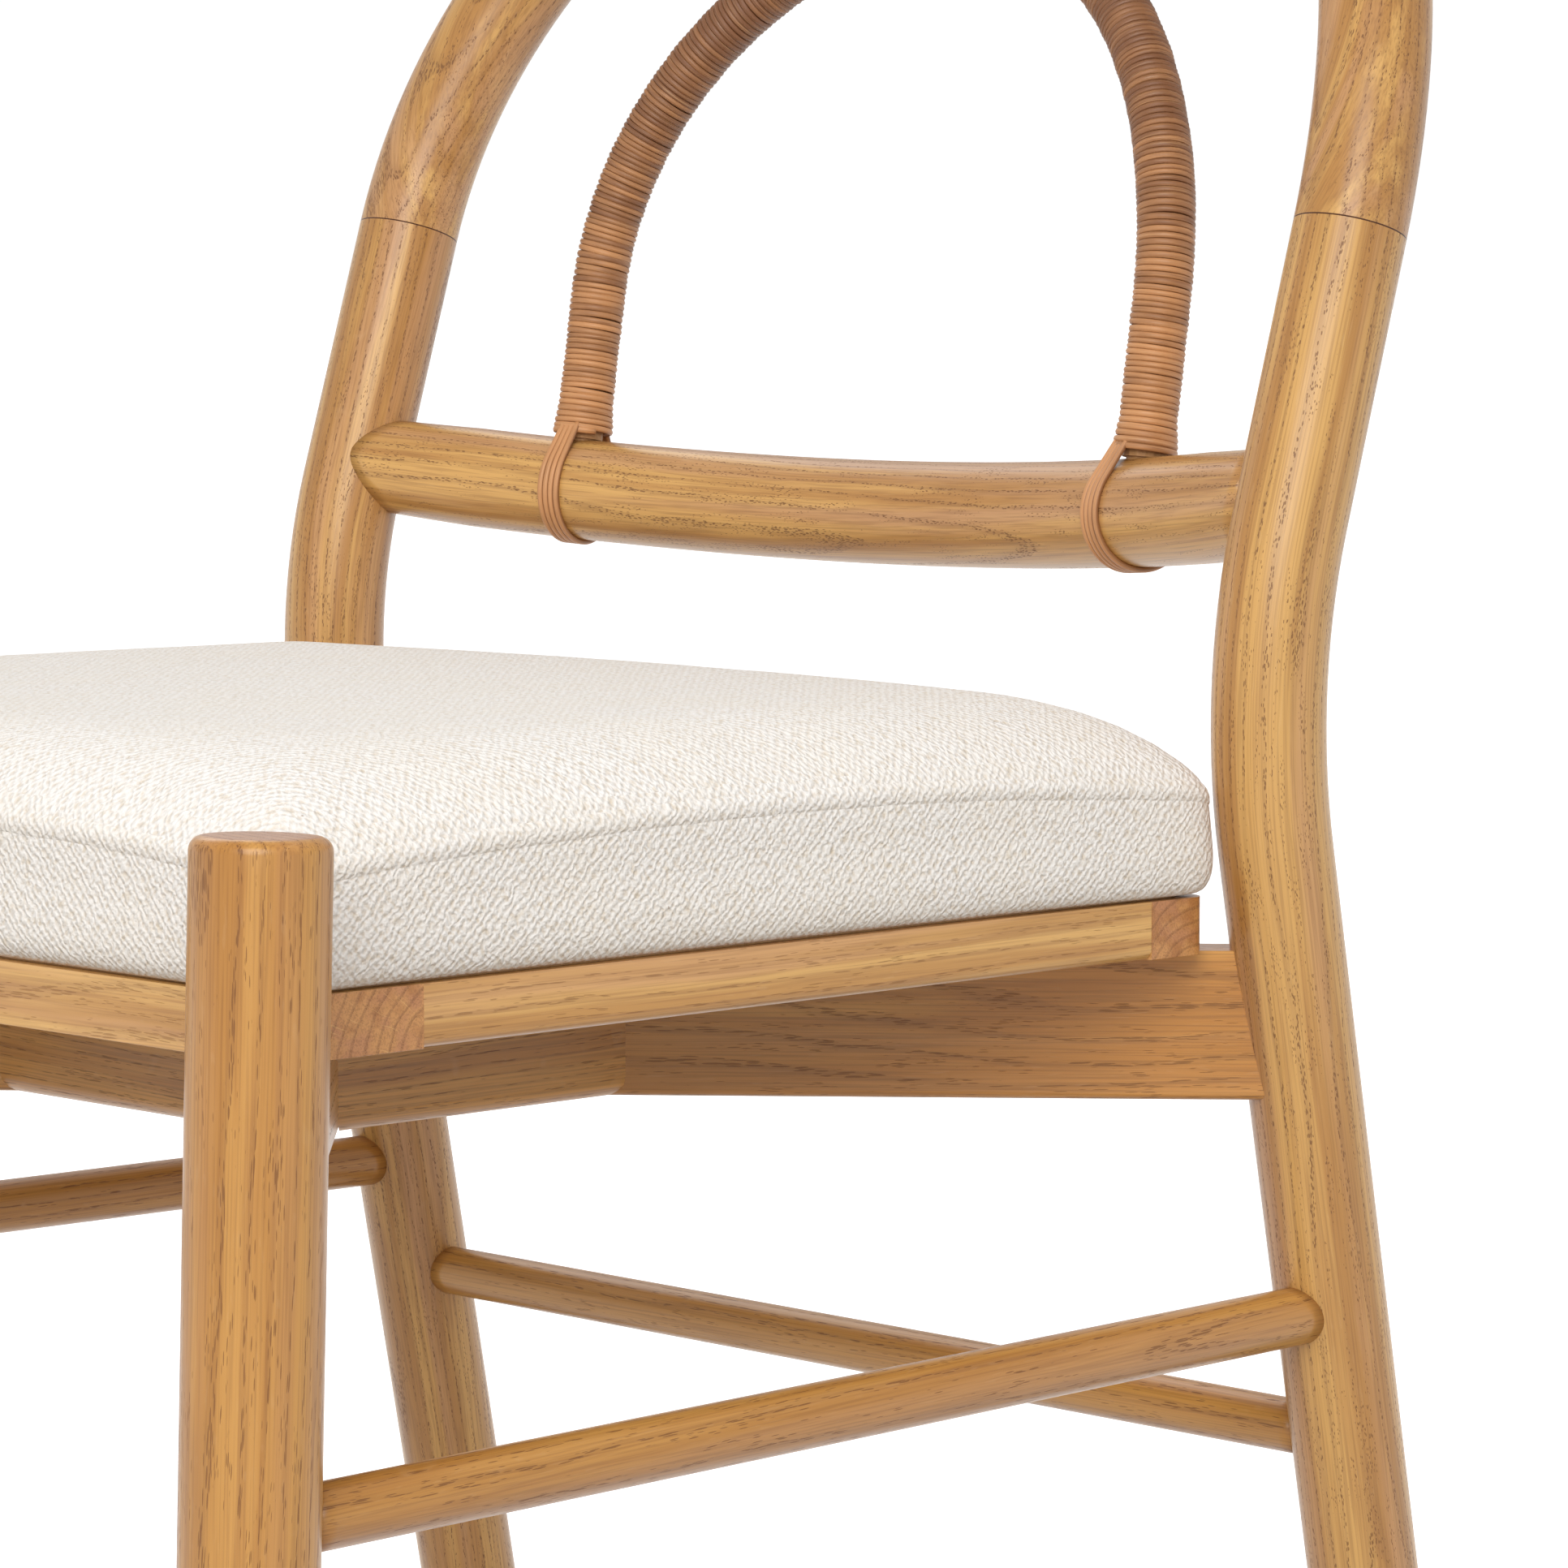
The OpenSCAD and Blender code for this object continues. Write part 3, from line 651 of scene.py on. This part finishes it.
def make_hoop():
    # Each sixth of the hoop is sawn from a straight board, so the grain runs off its curve
    def sagitta(w):
        return POST_X * (np.cos((w / POST_X) % (math.pi / 3) - math.pi / 6) - 1)

    member("hoop_bent", hoop_path, BACK, POST_R, (0, math.pi * POST_X),
           Grain(31, away=(110, 110), turn=70, slant=0.01, bend=sagitta), hoop_oak, nodes=["hoop"])


def make_rail():
    def eased(s):
        return 1 - RAIL_EASE * np.clip(1 - (POST_X - abs(s)) / RAIL_EASE_LEN, 0, 1)

    ends = [in_bar(RAIL_END + side * POST_X * X, UP, POST_R) for side in (-1, 1)]
    member("back_rail_bowed", rail_path, UP, RAIL_R, (-POST_X + 2 * MM, POST_X - 2 * MM),
           Grain(41, away=(38, 38), turn=60, slant=0.03), post_oak, taper=eased, rims=(0, 0), stops=ends,
           nodes=["back_rail"])


def make_stretchers():
    post_dir = post_axis(1) - post_axis(0)
    leg_dir = leg_axis(1) - leg_axis(0)
    for side, seed in ((1, 51), (-1, 52)):
        a, b = leg_axis(SIDE_BAR_Z, side), post_axis(SIDE_BAR_Z, side)
        name = "side_stretcher_" + side_name(side)
        stops = (in_bar(a, leg_dir, LEG_R), in_bar(b, post_dir, INTO_POST))
        member(name + "_turned", straight_path(a, b), X, SIDE_BAR_R, (0, np.linalg.norm(b - a)),
               Grain(seed), bar_oak, rims=(0, 0), stops=stops, nodes=[name])
    a, b = post_axis(REAR_BAR_Z, -1), post_axis(REAR_BAR_Z, 1)
    stops = (in_bar(a, post_dir, INTO_POST), in_bar(b, post_dir, INTO_POST))
    member("rear_stretcher_turned", straight_path(a, b), UP, REAR_BAR_R, (0, np.linalg.norm(b - a)),
           Grain(53), bar_oak, rims=(0, 0), stops=stops, nodes=["rear_stretcher"])


def arc_points(cx, cy, r, start, steps=6):
    return [(cx + r * math.cos(math.radians(start + 90 * i / steps)),
             cy + r * math.sin(math.radians(start + 90 * i / steps))) for i in range(steps + 1)]


def make_seat_frame():
    """Four boards; the front and rear ones run through to the sides and show their end grain."""
    half, y0, y1 = FRONT[1][0], FRONT[0][1], REAR[1][1]
    front_in, rear_in = FRONT[1][1], REAR[0][1]
    inner_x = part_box("seat_frame_right")[0].x
    z0, z1 = FRONT[0][2], FRONT[1][2]
    r, eased, fine, close = 7 * MM, 3.5 * MM, 0.25 * MM, 4 * MM

    def outer(e):
        p, q = e.verts[0].co, e.verts[1].co
        if abs(p.z - q.z) > MM or p.z > z0 + MM:
            return False
        mid = (p + q) / 2
        return abs(mid.x) > half - close or mid.y < y0 + close or mid.y > y1 - close

    def seam(e):
        p, q = e.verts[0].co, e.verts[1].co
        on_end = min(abs((p + q).y / 2 - front_in), abs((p + q).y / 2 - rear_in)) < 0.1 * MM
        return on_end and abs(p.z - q.z) > MM

    rounds = [(outer, eased), (seam, fine)]
    front = (arc_points(-half + r, y0 + r, r, 180) + arc_points(half - r, y0 + r, r, 270)
             + [(half, front_in), (-half, front_in)])
    rear = (arc_points(half - r, y1 - r, r, 0) + arc_points(-half + r, y1 - r, r, 90)
            + [(-half, rear_in), (half, rear_in)])
    timber("seat_frame_front_board", rounded_bar(front, z0, z1, rounds), X, Z,
           Grain(61, turn=200, away=(60, 60)), frame_oak, nodes=["seat_frame_front"])
    timber("seat_frame_rear_board", rounded_bar(rear, z0, z1, rounds), X, Z,
           Grain(62, turn=250, away=(38, 38)), frame_oak, nodes=["seat_frame_rear"])
    for side in (1, -1):
        outline = [(side * inner_x, front_in), (side * half, front_in), (side * half, rear_in),
                   (side * inner_x, rear_in)][::side]
        name = "seat_frame_" + side_name(side)
        timber(name + "_board", rounded_bar(outline, z0, z1, rounds), Y, Z,
               Grain(63 + side, turn=100), frame_oak, nodes=[name])


def make_underframe():
    """Two half-lapped diagonals coped to the legs and posts, and a box of four short rails."""
    z0, z1 = FRAME_Z - UNDER_H, FRAME_Z
    mid_z = (z0 + z1) / 2
    leg, post = leg_axis(mid_z), post_axis(mid_z)
    slope = (post[1] - leg[1]) / (POST_X + LEG_X)
    cross_y = leg[1] + slope * LEG_X
    edge = UNDER_T / 2 * math.sqrt(1 + slope ** 2)

    def low_edges(e):
        p, q = e.verts[0].co, e.verts[1].co
        return max(p.z, q.z) < z0 + 0.1 * MM and (p - q).length > 3 * UNDER_T

    def strip(side):
        along = unit(np.array([-side, slope, 0]))
        off = np.array([-along[1], along[0], 0]) * UNDER_T / 2
        a = np.array([side * LEG_X, leg[1], 0])
        b = np.array([-side * POST_X, post[1], 0])
        return [tuple(p[:2]) for p in (a - off, b - off, b + off, a + off)], along

    for side, name, notch in ((1, "cross_rail_b", (z0 - MM, mid_z)), (-1, "cross_rail_a", (mid_z, z1 + MM))):
        outline, along = strip(side)
        other = strip(-side)[0]
        cutters = [cutter_bar(leg_axis(z0 - 0.05, side), leg_axis(z1 + 0.05, side), LEG_R - 0.1 * MM),
                   cutter_bar(post_axis(z0 - 0.05, -side), post_axis(z1 + 0.05, -side), POST_R - 0.1 * MM),
                   cutter_block(other, *notch)]
        timber(name + "_coped", rounded_bar(outline, z0, z1, [(low_edges, 2.5 * MM)]), along, Z,
               Grain(71 + side, turn=20), under_oak, cutters, [name])

    def box_side(inner, outer):
        return slope * inner - edge, slope * outer - edge

    w, d, t, eased = BOX_W, BOX_D, UNDER_T, 6 * MM
    near, far = box_side(w - t, w)
    side_outline = [(w - t, cross_y - near), (w, cross_y - far), (w, cross_y + far), (w - t, cross_y + near)]
    short, long = (d - t - edge) / slope, (d - edge) / slope
    end_outline = [(-short, cross_y + d - t), (short, cross_y + d - t),
                   (long, cross_y + d), (-long, cross_y + d)]

    def outer_low(axis, limit):
        """Lower edges further than limit from where the diagonals cross."""
        middle = cross_y if axis else 0

        def chosen(e):
            p, q = e.verts[0].co, e.verts[1].co
            low = max(p.z, q.z) < z0 + 0.1 * MM
            return low and min(abs(p[axis] - middle), abs(q[axis] - middle)) > limit
        return chosen

    for side in (1, -1):
        outline = [(side * x, y) for x, y in side_outline][::side]
        name = "box_rail_" + side_name(side)
        timber(name + "_cut", rounded_bar(outline, z0, z1, [(outer_low(0, w - MM), eased)]),
               Y, Z, Grain(81 + side, turn=80), under_oak, nodes=[name])
        outline = [(x, cross_y + side * (y - cross_y)) for x, y in end_outline][::side]
        name = "box_rail_" + ("rear" if side > 0 else "front")
        timber(name + "_cut", rounded_bar(outline, z0, z1, [(outer_low(1, d - MM), eased)]),
               X, Z, Grain(91 + side, turn=80), under_oak, nodes=[name])


# -------- rattan
def strand(name, centres, across, outward, half_w, half_t, tones, material, sides=8, nodes=()):
    """A flat strand with rounded edges, given its centres and directions at each point."""
    turn = np.arange(sides) * 2 * math.pi / sides
    shape_a = np.sign(np.cos(turn)) * np.abs(np.cos(turn)) ** 0.8
    shape_b = np.sin(turn)
    points = (centres[:, None] + across[:, None] * (half_w[:, None] * shape_a)[..., None]
              + outward[:, None] * (half_t * shape_b)[:, None])
    steps = np.linalg.norm(np.diff(centres, axis=0), axis=1)
    along = np.concatenate([[0], np.cumsum(steps)])
    coords = np.stack([np.tile(shape_a, (len(along), 1)), np.tile(along[:, None], (1, sides)),
                       np.tile(tones[:, None] * 7, (1, sides))], -1)
    caps = np.array([centres[0], centres[-1]])
    obj = mesh_object(name, np.concatenate([points.reshape(-1, 3), caps]),
                      tube_faces(len(centres), sides), material)
    ends = np.array([[0, 0, 0], [0, along[-1], 0]])
    set_vectors(obj, "strand", np.concatenate([coords.reshape(-1, 3), ends]))
    set_floats(obj, "tone", np.concatenate([np.repeat(tones, sides), tones[[0, -1]]]))
    finish_piece(obj, "rattan", *nodes)


def make_wrap(material):
    """One strand wound on the arch, with turns of slightly different width and slant."""
    rng = random.Random(5)
    widths, covered = [], 0
    while covered < ARCH_LEN - 2 * FOOT_GAP:
        widths.append(rng.uniform(1.75, 2.35) * MM)
        covered += widths[-1]
    widths = np.array(widths)
    edges = np.concatenate([[0], np.cumsum(widths)]) * (ARCH_LEN - 2 * FOOT_GAP) / covered + FOOT_GAP
    per_turn, half_thick = 22, 1.15 * MM
    turns = np.arange(0, len(widths), 1 / per_turn)
    mids = (edges[1:] + edges[:-1]) / 2
    s = np.interp(turns, np.arange(len(mids)) + 0.5, mids)
    tilt = np.array([rng.uniform(-0.3, 0.3) for _ in widths]) * MM
    spin = turns * 2 * math.pi
    s = s + np.interp(turns, np.arange(len(tilt)), tilt) * np.cos(spin)
    s = np.clip(s, FOOT_GAP, ARCH_LEN - FOOT_GAP)
    p, side, out = frames(arch_path, ARCH_BACK, s)
    outward = side * np.cos(spin)[:, None] + out * np.sin(spin)[:, None]
    proud = np.array([rng.uniform(-0.15, 0.15) for _ in widths]) * MM
    near_foot = np.minimum(s, ARCH_LEN - s)
    flare = 1.3 * MM * np.clip(1 - (near_foot - FOOT_GAP) / (11 * MM), 0, 1)
    rise = WRAP_R - 1.1 * MM + np.interp(turns, np.arange(len(proud)), proud) + flare
    centres = p + outward * rise[:, None]
    along = unit(np.cross(side, out))
    wide = np.interp(turns, np.arange(len(widths)) + 0.5, widths) * 0.56
    # Darker over the top of the arch and lighter at its feet
    base = np.clip(0.85 - near_foot / 0.22, 0.1, 0.85)
    tones = np.interp(turns, np.arange(len(widths)), [rng.uniform(-0.28, 0.28) for _ in widths]) + base
    strand("arch_wrap_strand", centres, along, outward, wide, half_thick, tones, material,
           nodes=["arch_wrap"])


def make_bindings(material):
    """Four strands side by side from each foot's front, round under the rail, to the foot's back."""
    rng = random.Random(8)
    pitch, half_w, half_t = 2.35 * MM, 1.14 * MM, 0.95 * MM
    for side in (1, -1):
        where = side * ARCH_R
        before, centre, after = rail_path(np.array([where - STEP, where, where + STEP]))
        along = unit(after - before)
        back = unit(ARCH_BACK - np.dot(ARCH_BACK, along) * along)
        up = np.cross(along, back)
        up = up if up[2] > 0 else -up
        # hug: on the rail; stand and top: where the strands come out from under the wrap
        hug, stand, top = RAIL_R + half_t, WRAP_R - 1.6 * MM, RAIL_R + 6 * MM
        lift = math.degrees(math.atan2(top, -stand)) + math.degrees(math.acos(hug / math.hypot(top, stand)))
        sweep = np.radians(np.linspace(lift, 540 - lift, 60))
        ring = np.stack([hug * np.cos(sweep), hug * np.sin(sweep)], -1)
        rows = [np.array([[-stand, top]]) + (ring[0] - [-stand, top]) * f for f in np.linspace(0, 0.92, 8)]
        first = np.concatenate(rows)
        flat = np.concatenate([first, ring, (first * [-1, 1])[::-1]])
        spread = np.interp(flat[:, 1], [-hug, 0.3 * hug, top], [1.0, 1.0, 0.82])
        name = "arch_binding_" + side_name(side)
        n = len(flat)
        for j in range(4):
            drift = (j - 1.5) * pitch * spread + rng.uniform(-0.1, 0.1) * MM
            lean = -1.6 * MM * np.sin(np.pi * np.linspace(0, 1, n))
            centres = (centre + np.outer(flat[:, 0], back) + np.outer(flat[:, 1], up)
                       + np.outer(drift + side * lean, along))
            tangent = unit(np.gradient(centres, axis=0))
            outward = unit(np.cross(tangent, along))
            outward *= np.sign(np.sum(outward * (centres - centre), axis=1))[:, None]
            tones = np.full(n, 0.85 + rng.uniform(-0.15, 0.15))
            strand(f"{name}_strand_{j + 1}", centres, np.tile(along, (n, 1)), outward, np.full(n, half_w),
                   half_t, tones, material, sides=10, nodes=[name] if j == 0 else ())


# -------- cushion
CUSHION = np.array(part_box("seat_cover"))
SEAT_Z = CUSHION[0][2]
CORNER = 9 * MM
CORNER_Z = 461.5 * MM
EDGE_RISE = 11 * MM
CROWN = 19.5 * MM
BULGE = 2.6 * MM  # of the start form past its CAD block
PULL_IN = 1.8 * MM  # of the sides, half-way between the corners
POST_GAP = 0.4 * MM
VOXEL = 5 * MM
MOST_SWELL = 3 * MM
FREE_HEIGHT = 25 * MM
CLOTH_STEPS, CLOTH_PRESSURE = 20, 4


def outline_points(inset, per_side=26, per_corner=9):
    """Points of a rounded rectangle round the seat, inset by some distance."""
    (x0, y0), (x1, y1) = CUSHION[0][:2] + inset, CUSHION[1][:2] - inset
    r = max(CORNER - inset * 0.6, 2 * MM)
    corners = ((x1 - r, y0 + r, 270), (x1 - r, y1 - r, 0), (x0 + r, y1 - r, 90), (x0 + r, y0 + r, 180))
    points = []
    for i, (cx, cy, start) in enumerate(corners):
        arc = arc_points(cx, cy, r, start, per_corner)
        nx, ny, n_start = corners[(i + 1) % 4]
        last, following = np.array(arc[-1]), np.array(arc_points(nx, ny, r, n_start, per_corner)[0])
        points += arc[:-1]
        points += [tuple(last + (following - last) * k / per_side) for k in range(per_side)]
    return np.array(points)


def edge_height(xy):
    """The seam is lowest at the seat's corners and rises along each side."""
    (x0, y0), (x1, y1) = CUSHION[0][:2], CUSHION[1][:2]
    u = np.clip((xy[:, 0] - x0) / (x1 - x0), 0, 1)
    v = np.clip((xy[:, 1] - y0) / (y1 - y0), 0, 1)
    along_x = np.minimum(v, 1 - v) * (y1 - y0) < np.minimum(u, 1 - u) * (x1 - x0)
    rise = np.where(along_x, np.sin(math.pi * u) ** 0.6 * 1.12, np.sin(math.pi * v) ** 0.6)
    return CORNER_Z + EDGE_RISE * rise


def cushion_start():
    """A closed boxed form, a little wider than its CAD block, as its corners bulge."""
    rings = []
    for inset in (150, 90, 40, 12, 5):
        xy = outline_points(inset * MM - BULGE)
        rings.append(np.column_stack([xy, np.full(len(xy), SEAT_Z)]))
    boxing = ((2, 0.06), (0.5, 0.15), (0, 0.3), (0, 0.45), (0, 0.6), (0, 0.75), (0, 0.9), (0.4, 1.0))
    for inset, share in boxing:
        xy = outline_points(inset * MM - BULGE)
        z = SEAT_Z + (edge_height(xy) - SEAT_Z) * share
        rings.append(np.column_stack([xy, z]))
    edge = edge_height(outline_points(-BULGE))
    for inset in (3, 8, 16, 28, 44, 64, 90, 120, 150, 175):
        xy = outline_points(inset * MM - BULGE)
        rise = 1 - max(0, 1 - inset / 65) ** 2.9
        level = edge + (CORNER_Z + EDGE_RISE - edge) * min(1, inset / 60)
        rings.append(np.column_stack([xy, level + CROWN * rise]))
    rings = np.array(rings)
    n = rings.shape[1]
    caps = np.array([[0, rings[0][:, 1].mean(), SEAT_Z], [0, rings[-1][:, 1].mean(), rings[-1][:, 2].max()]])
    return np.concatenate([rings.reshape(-1, 3), caps]), tube_faces(len(rings), n)


def inflate(obj):
    """Cloth simulation under a little pressure; no point moves further than MOST_SWELL."""
    before = np.array([v.co for v in obj.data.vertices])
    mod = obj.modifiers.new("cloth", "CLOTH")
    mod.settings.use_pressure = True
    mod.settings.uniform_pressure_force = CLOTH_PRESSURE
    mod.settings.effector_weights.gravity = 0
    mod.settings.quality = 5
    scene = bpy.context.scene
    for f in range(1, CLOTH_STEPS + 1):
        scene.frame_set(f)
    graph = bpy.context.evaluated_depsgraph_get()
    after = np.array([v.co for v in obj.evaluated_get(graph).data.vertices])
    obj.modifiers.clear()
    scene.frame_set(1)
    move = after - before
    size = np.linalg.norm(move, axis=1, keepdims=True)
    move *= np.minimum(1, MOST_SWELL / np.maximum(size, 1e-9))
    # The base stays flat on the seat: the cloth is free only above FREE_HEIGHT
    move *= np.clip((before[:, 2:] - SEAT_Z) / FREE_HEIGHT, 0, 1)
    obj.data.vertices.foreach_set("co", (before + move).astype(np.float32).ravel())
    obj.data.update()


def around(xy):
    """Distance round the seat's edge, so that the cloth on the sides runs on past the corners."""
    middle = (CUSHION[0][:2] + CUSHION[1][:2]) / 2
    half = (CUSHION[1][:2] - CUSHION[0][:2]) / 2
    d = xy - middle
    across = np.abs(d[:, 0]) / half[0] > np.abs(d[:, 1]) / half[1]
    right = half[1] + d[:, 1]
    front = -(half[0] - d[:, 0])
    rear = 2 * half[1] + half[0] - d[:, 0]
    left = -2 * half[0] - d[:, 1] - half[1]
    return np.where(across, np.where(d[:, 0] > 0, right, left), np.where(d[:, 1] > 0, rear, front))


def lay_cloth(obj):
    """Cloth coordinates in metres: in plan on the top, and round the edge on the sides."""
    mesh = obj.data
    co = np.array([v.co for v in mesh.vertices])
    side_s = around(co[:, :2])
    values = np.zeros((len(mesh.loops), 3))
    for poly in mesh.polygons:
        ids = list(poly.vertices)
        top = abs(poly.normal.z) > 0.72
        for loop, v in zip(poly.loop_indices, ids):
            values[loop] = (co[v][0], co[v][1], 0) if top else (side_s[v], co[v][2], 0.5)
        # A face across the start of the way round would squeeze the whole cloth into itself
        s = values[list(poly.loop_indices), 0]
        if not top and s.max() - s.min() > 50 * MM:
            values[list(poly.loop_indices), 0] = s.max()
    set_vectors(obj, "cloth", values, "CORNER")


def make_cushion(material):
    points, faces = cushion_start()
    obj = mesh_object("seat_cushion", points, faces, material)
    mod = obj.modifiers.new("remesh", "REMESH")
    mod.mode, mod.voxel_size = "VOXEL", VOXEL
    bake_modifiers(obj)
    inflate(obj)
    co = np.array([v.co for v in obj.data.vertices])
    co[:, 2] = np.maximum(co[:, 2], SEAT_Z)
    # The sides pull in a little between the corners, and the rear corners give way to the posts
    middle, half = (CUSHION[0] + CUSHION[1]) / 2, (CUSHION[1] - CUSHION[0]) / 2
    for a, b in ((0, 1), (1, 0)):
        out = np.clip((co[:, a] - middle[a]) / half[a], -1, 1)
        along = np.clip((co[:, b] - middle[b]) / half[b], -1, 1)
        co[:, a] -= PULL_IN * np.sign(out) * np.abs(out) ** 6 * (1 - along ** 4)
    for side in (1, -1):
        base, direction = post_axis(0, side), unit(post_axis(1, side) - post_axis(0, side))
        away = co - base
        away -= np.outer(away @ direction, direction)
        near = np.linalg.norm(away, axis=1, keepdims=True)
        co += away / near * np.maximum(0, POST_R + POST_GAP - near)
    obj.data.vertices.foreach_set("co", co.astype(np.float32).ravel())
    mod = obj.modifiers.new("smooth", "SMOOTH")
    mod.factor, mod.iterations = 0.5, 3
    mod = obj.modifiers.new("round", "SUBSURF")
    mod.levels = mod.render_levels = 1
    bake_modifiers(obj)
    obj.data.shade_smooth()
    dress(obj, material)
    lay_cloth(obj)
    finish_piece(obj, "seat_fabric", "seat_cover", "seat_foam")
    return obj


def make_seam(cushion, material):
    """The turned-over edge of the top panel, sewn down along the side just below its fold."""
    tree = BVHTree.FromObject(cushion, bpy.context.evaluated_depsgraph_get())
    xy = outline_points(0, per_side=150, per_corner=24)
    top = edge_height(xy)
    tangent = unit(np.roll(xy, -1, 0) - np.roll(xy, 1, 0))
    outward = np.column_stack([tangent[:, 1], -tangent[:, 0]])
    rng = np.random.default_rng(3)
    wobble = np.convolve(np.tile(rng.normal(size=len(xy)), 3), np.ones(25) / 25, "same")[len(xy):2 * len(xy)]
    rows, outside = [], 30 * MM
    # Across the strip: height from the edge and how proud of the cushion, in mm
    profile = ((-6.4, -0.7), (-5.6, -0.1), (-4.6, 0.45), (-2.5, 0.85), (-0.6, 0.85), (0.8, 0.35), (1.8, -0.7))
    for drop, proud in profile:
        row = []
        for i, p in enumerate(xy):
            z = top[i] + drop * MM + wobble[i] * 1.2 * MM
            start = Vector((p[0] + outward[i][0] * outside, p[1] + outward[i][1] * outside, z))
            hit = tree.ray_cast(start, Vector((-outward[i][0], -outward[i][1], 0)))[0]
            hit = hit if hit is not None else start
            row.append((hit.x + outward[i][0] * proud * MM, hit.y + outward[i][1] * proud * MM, z))
        rows.append(row)
    points = np.array(rows).reshape(-1, 3)
    n = len(xy)
    # The last row joins the first, so that the strip is closed all round
    faces = tube_faces(len(profile) + 1, n, capped=False)
    faces = [tuple(v % len(points) for v in f) for f in faces]
    obj = mesh_object("seat_cushion_seam", points, faces, material)
    s = around(points[:, :2])
    set_vectors(obj, "cloth", np.column_stack([s, points[:, 2], np.full(len(s), 0.8)]))
    finish_piece(obj, "seat_fabric")


# -------- the rest
def dress_cad_nodes():
    """Pieces that keep their CAD shape: inside the joints and the seat, and under the feet."""
    dowel = plain("beech_dowel", rgb(214, 176, 126), rgb(196, 154, 104), scale=420, rough=0.6, bump=1e-4)
    rod = plain("rattan_rod", rgb(196, 150, 98), rgb(168, 122, 74), scale=300, rough=0.6, bump=2e-4)
    steel = plain("zinc_screw", rgb(178, 180, 184), rgb(150, 152, 158), scale=900, rough=0.35, bump=5e-5,
                  metal=1.0)
    nylon = plain("brown_nylon", rgb(92, 64, 44), rgb(78, 54, 38), scale=600, rough=0.45, bump=5e-5)
    lining = plain("black_lining", rgb(46, 45, 47), rgb(28, 28, 30), scale=1400, rough=0.9, bump=2e-4)
    looks = {"arch_rod": rod, "seat_board": plywood("plywood"), "dust_cover": lining, "seat_screws": steel,
             "foot_glides": nylon}
    for node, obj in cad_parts.items():
        look = dowel if node.endswith("_dowels") else looks.get(node)
        if look is not None:
            dress(obj, look)


def make_stage():
    m = Shader("pale_floor")
    place = m.put("TexCoord", out="Object")
    tone = m.noise(place, scale=3.0, detail=2)
    m.set(Base_Color=m.mix(m.span(tone, 0.3, 0.7), (0.90, 0.90, 0.90, 1), (0.92, 0.92, 0.92, 1)))
    m.set(Roughness=0.9, Specular_IOR_Level=0.1, Emission_Color=(1, 1, 1, 1), Emission_Strength=0.6)
    n, radius = 96, 60
    turns = [2 * math.pi * i / n for i in range(n)]
    ring = [(radius * math.cos(a), radius * math.sin(a), 0) for a in turns]
    floor = mesh_object("floor", ring, [tuple(range(n))], m.material, smooth=False)
    floor.visible_diffuse = False
    make_world()
    softbox("key", place=(2.0, -2.4, 2.3), size=2.6, power=82)
    softbox("fill", place=(-2.6, 1.2, 2.8), size=2.0, power=16)


def make_world():
    """A white backdrop at eye level, softer light from above and little from below."""
    world = bpy.data.worlds.new("studio")
    bpy.context.scene.world = world
    world.use_nodes = True
    tree = world.node_tree
    place, split = tree.nodes.new("ShaderNodeTexCoord"), tree.nodes.new("ShaderNodeSeparateXYZ")
    height, ramp = tree.nodes.new("ShaderNodeMapRange"), tree.nodes.new("ShaderNodeValToRGB")
    height.inputs["From Min"].default_value = -1
    warm, white = np.array([1.0, 0.92, 0.80]), np.ones(3)
    stops = ((0.0, 0.36 * warm), (0.43, 0.36 * warm), (0.46, white), (0.55, white), (0.60, 0.72 * white),
             (1.0, 0.58 * white))
    while len(ramp.color_ramp.elements) < len(stops):
        ramp.color_ramp.elements.new(0.5)
    for element, (position, level) in zip(ramp.color_ramp.elements, stops):
        element.position, element.color = position, (*level, 1)
    back = tree.nodes["Background"]
    back.inputs[1].default_value = 1.03
    tree.links.new(place.outputs["Generated"], split.inputs[0])
    tree.links.new(split.outputs[2], height.inputs[0])
    tree.links.new(height.outputs[0], ramp.inputs[0])
    tree.links.new(ramp.outputs[0], back.inputs[0])


def softbox(name, place, size, power):
    """A round soft light that faces the seat."""
    light = bpy.data.lights.new(name, "AREA")
    light.shape, light.size, light.energy = "DISK", size, power
    obj = bpy.data.objects.new(name, light)
    obj.location = place
    aim = Vector((0, 0, 0.45)) - Vector(place)
    obj.rotation_euler = aim.to_track_quat("-Z", "Y").to_euler()
    bpy.context.scene.collection.objects.link(obj)


def make_camera():
    """The view that was fitted to the photo's edges."""
    data = bpy.data.cameras.new("camera")
    data.lens, data.sensor_width = 138.16, 36
    data.clip_end = 200
    camera = bpy.data.objects.new("camera", data)
    camera.location = (1.49878, -1.29704, 0.63490)
    camera.rotation_euler = (math.radians(84.90), 0, math.radians(45.834))
    bpy.context.scene.collection.objects.link(camera)
    bpy.context.scene.camera = camera


bpy.context.scene.view_settings.view_transform = "Standard"
make_camera()
make_stage()
dress_cad_nodes()
make_legs()
make_posts()
make_hoop()
make_rail()
make_stretchers()
make_seat_frame()
make_underframe()
cane = rattan("rattan_cane", rgb(202, 145, 95), rgb(124, 80, 49))
make_wrap(cane)
make_bindings(cane)
cloth = fabric("cream_cloth")
cushion = make_cushion(cloth)
make_seam(cushion, cloth)
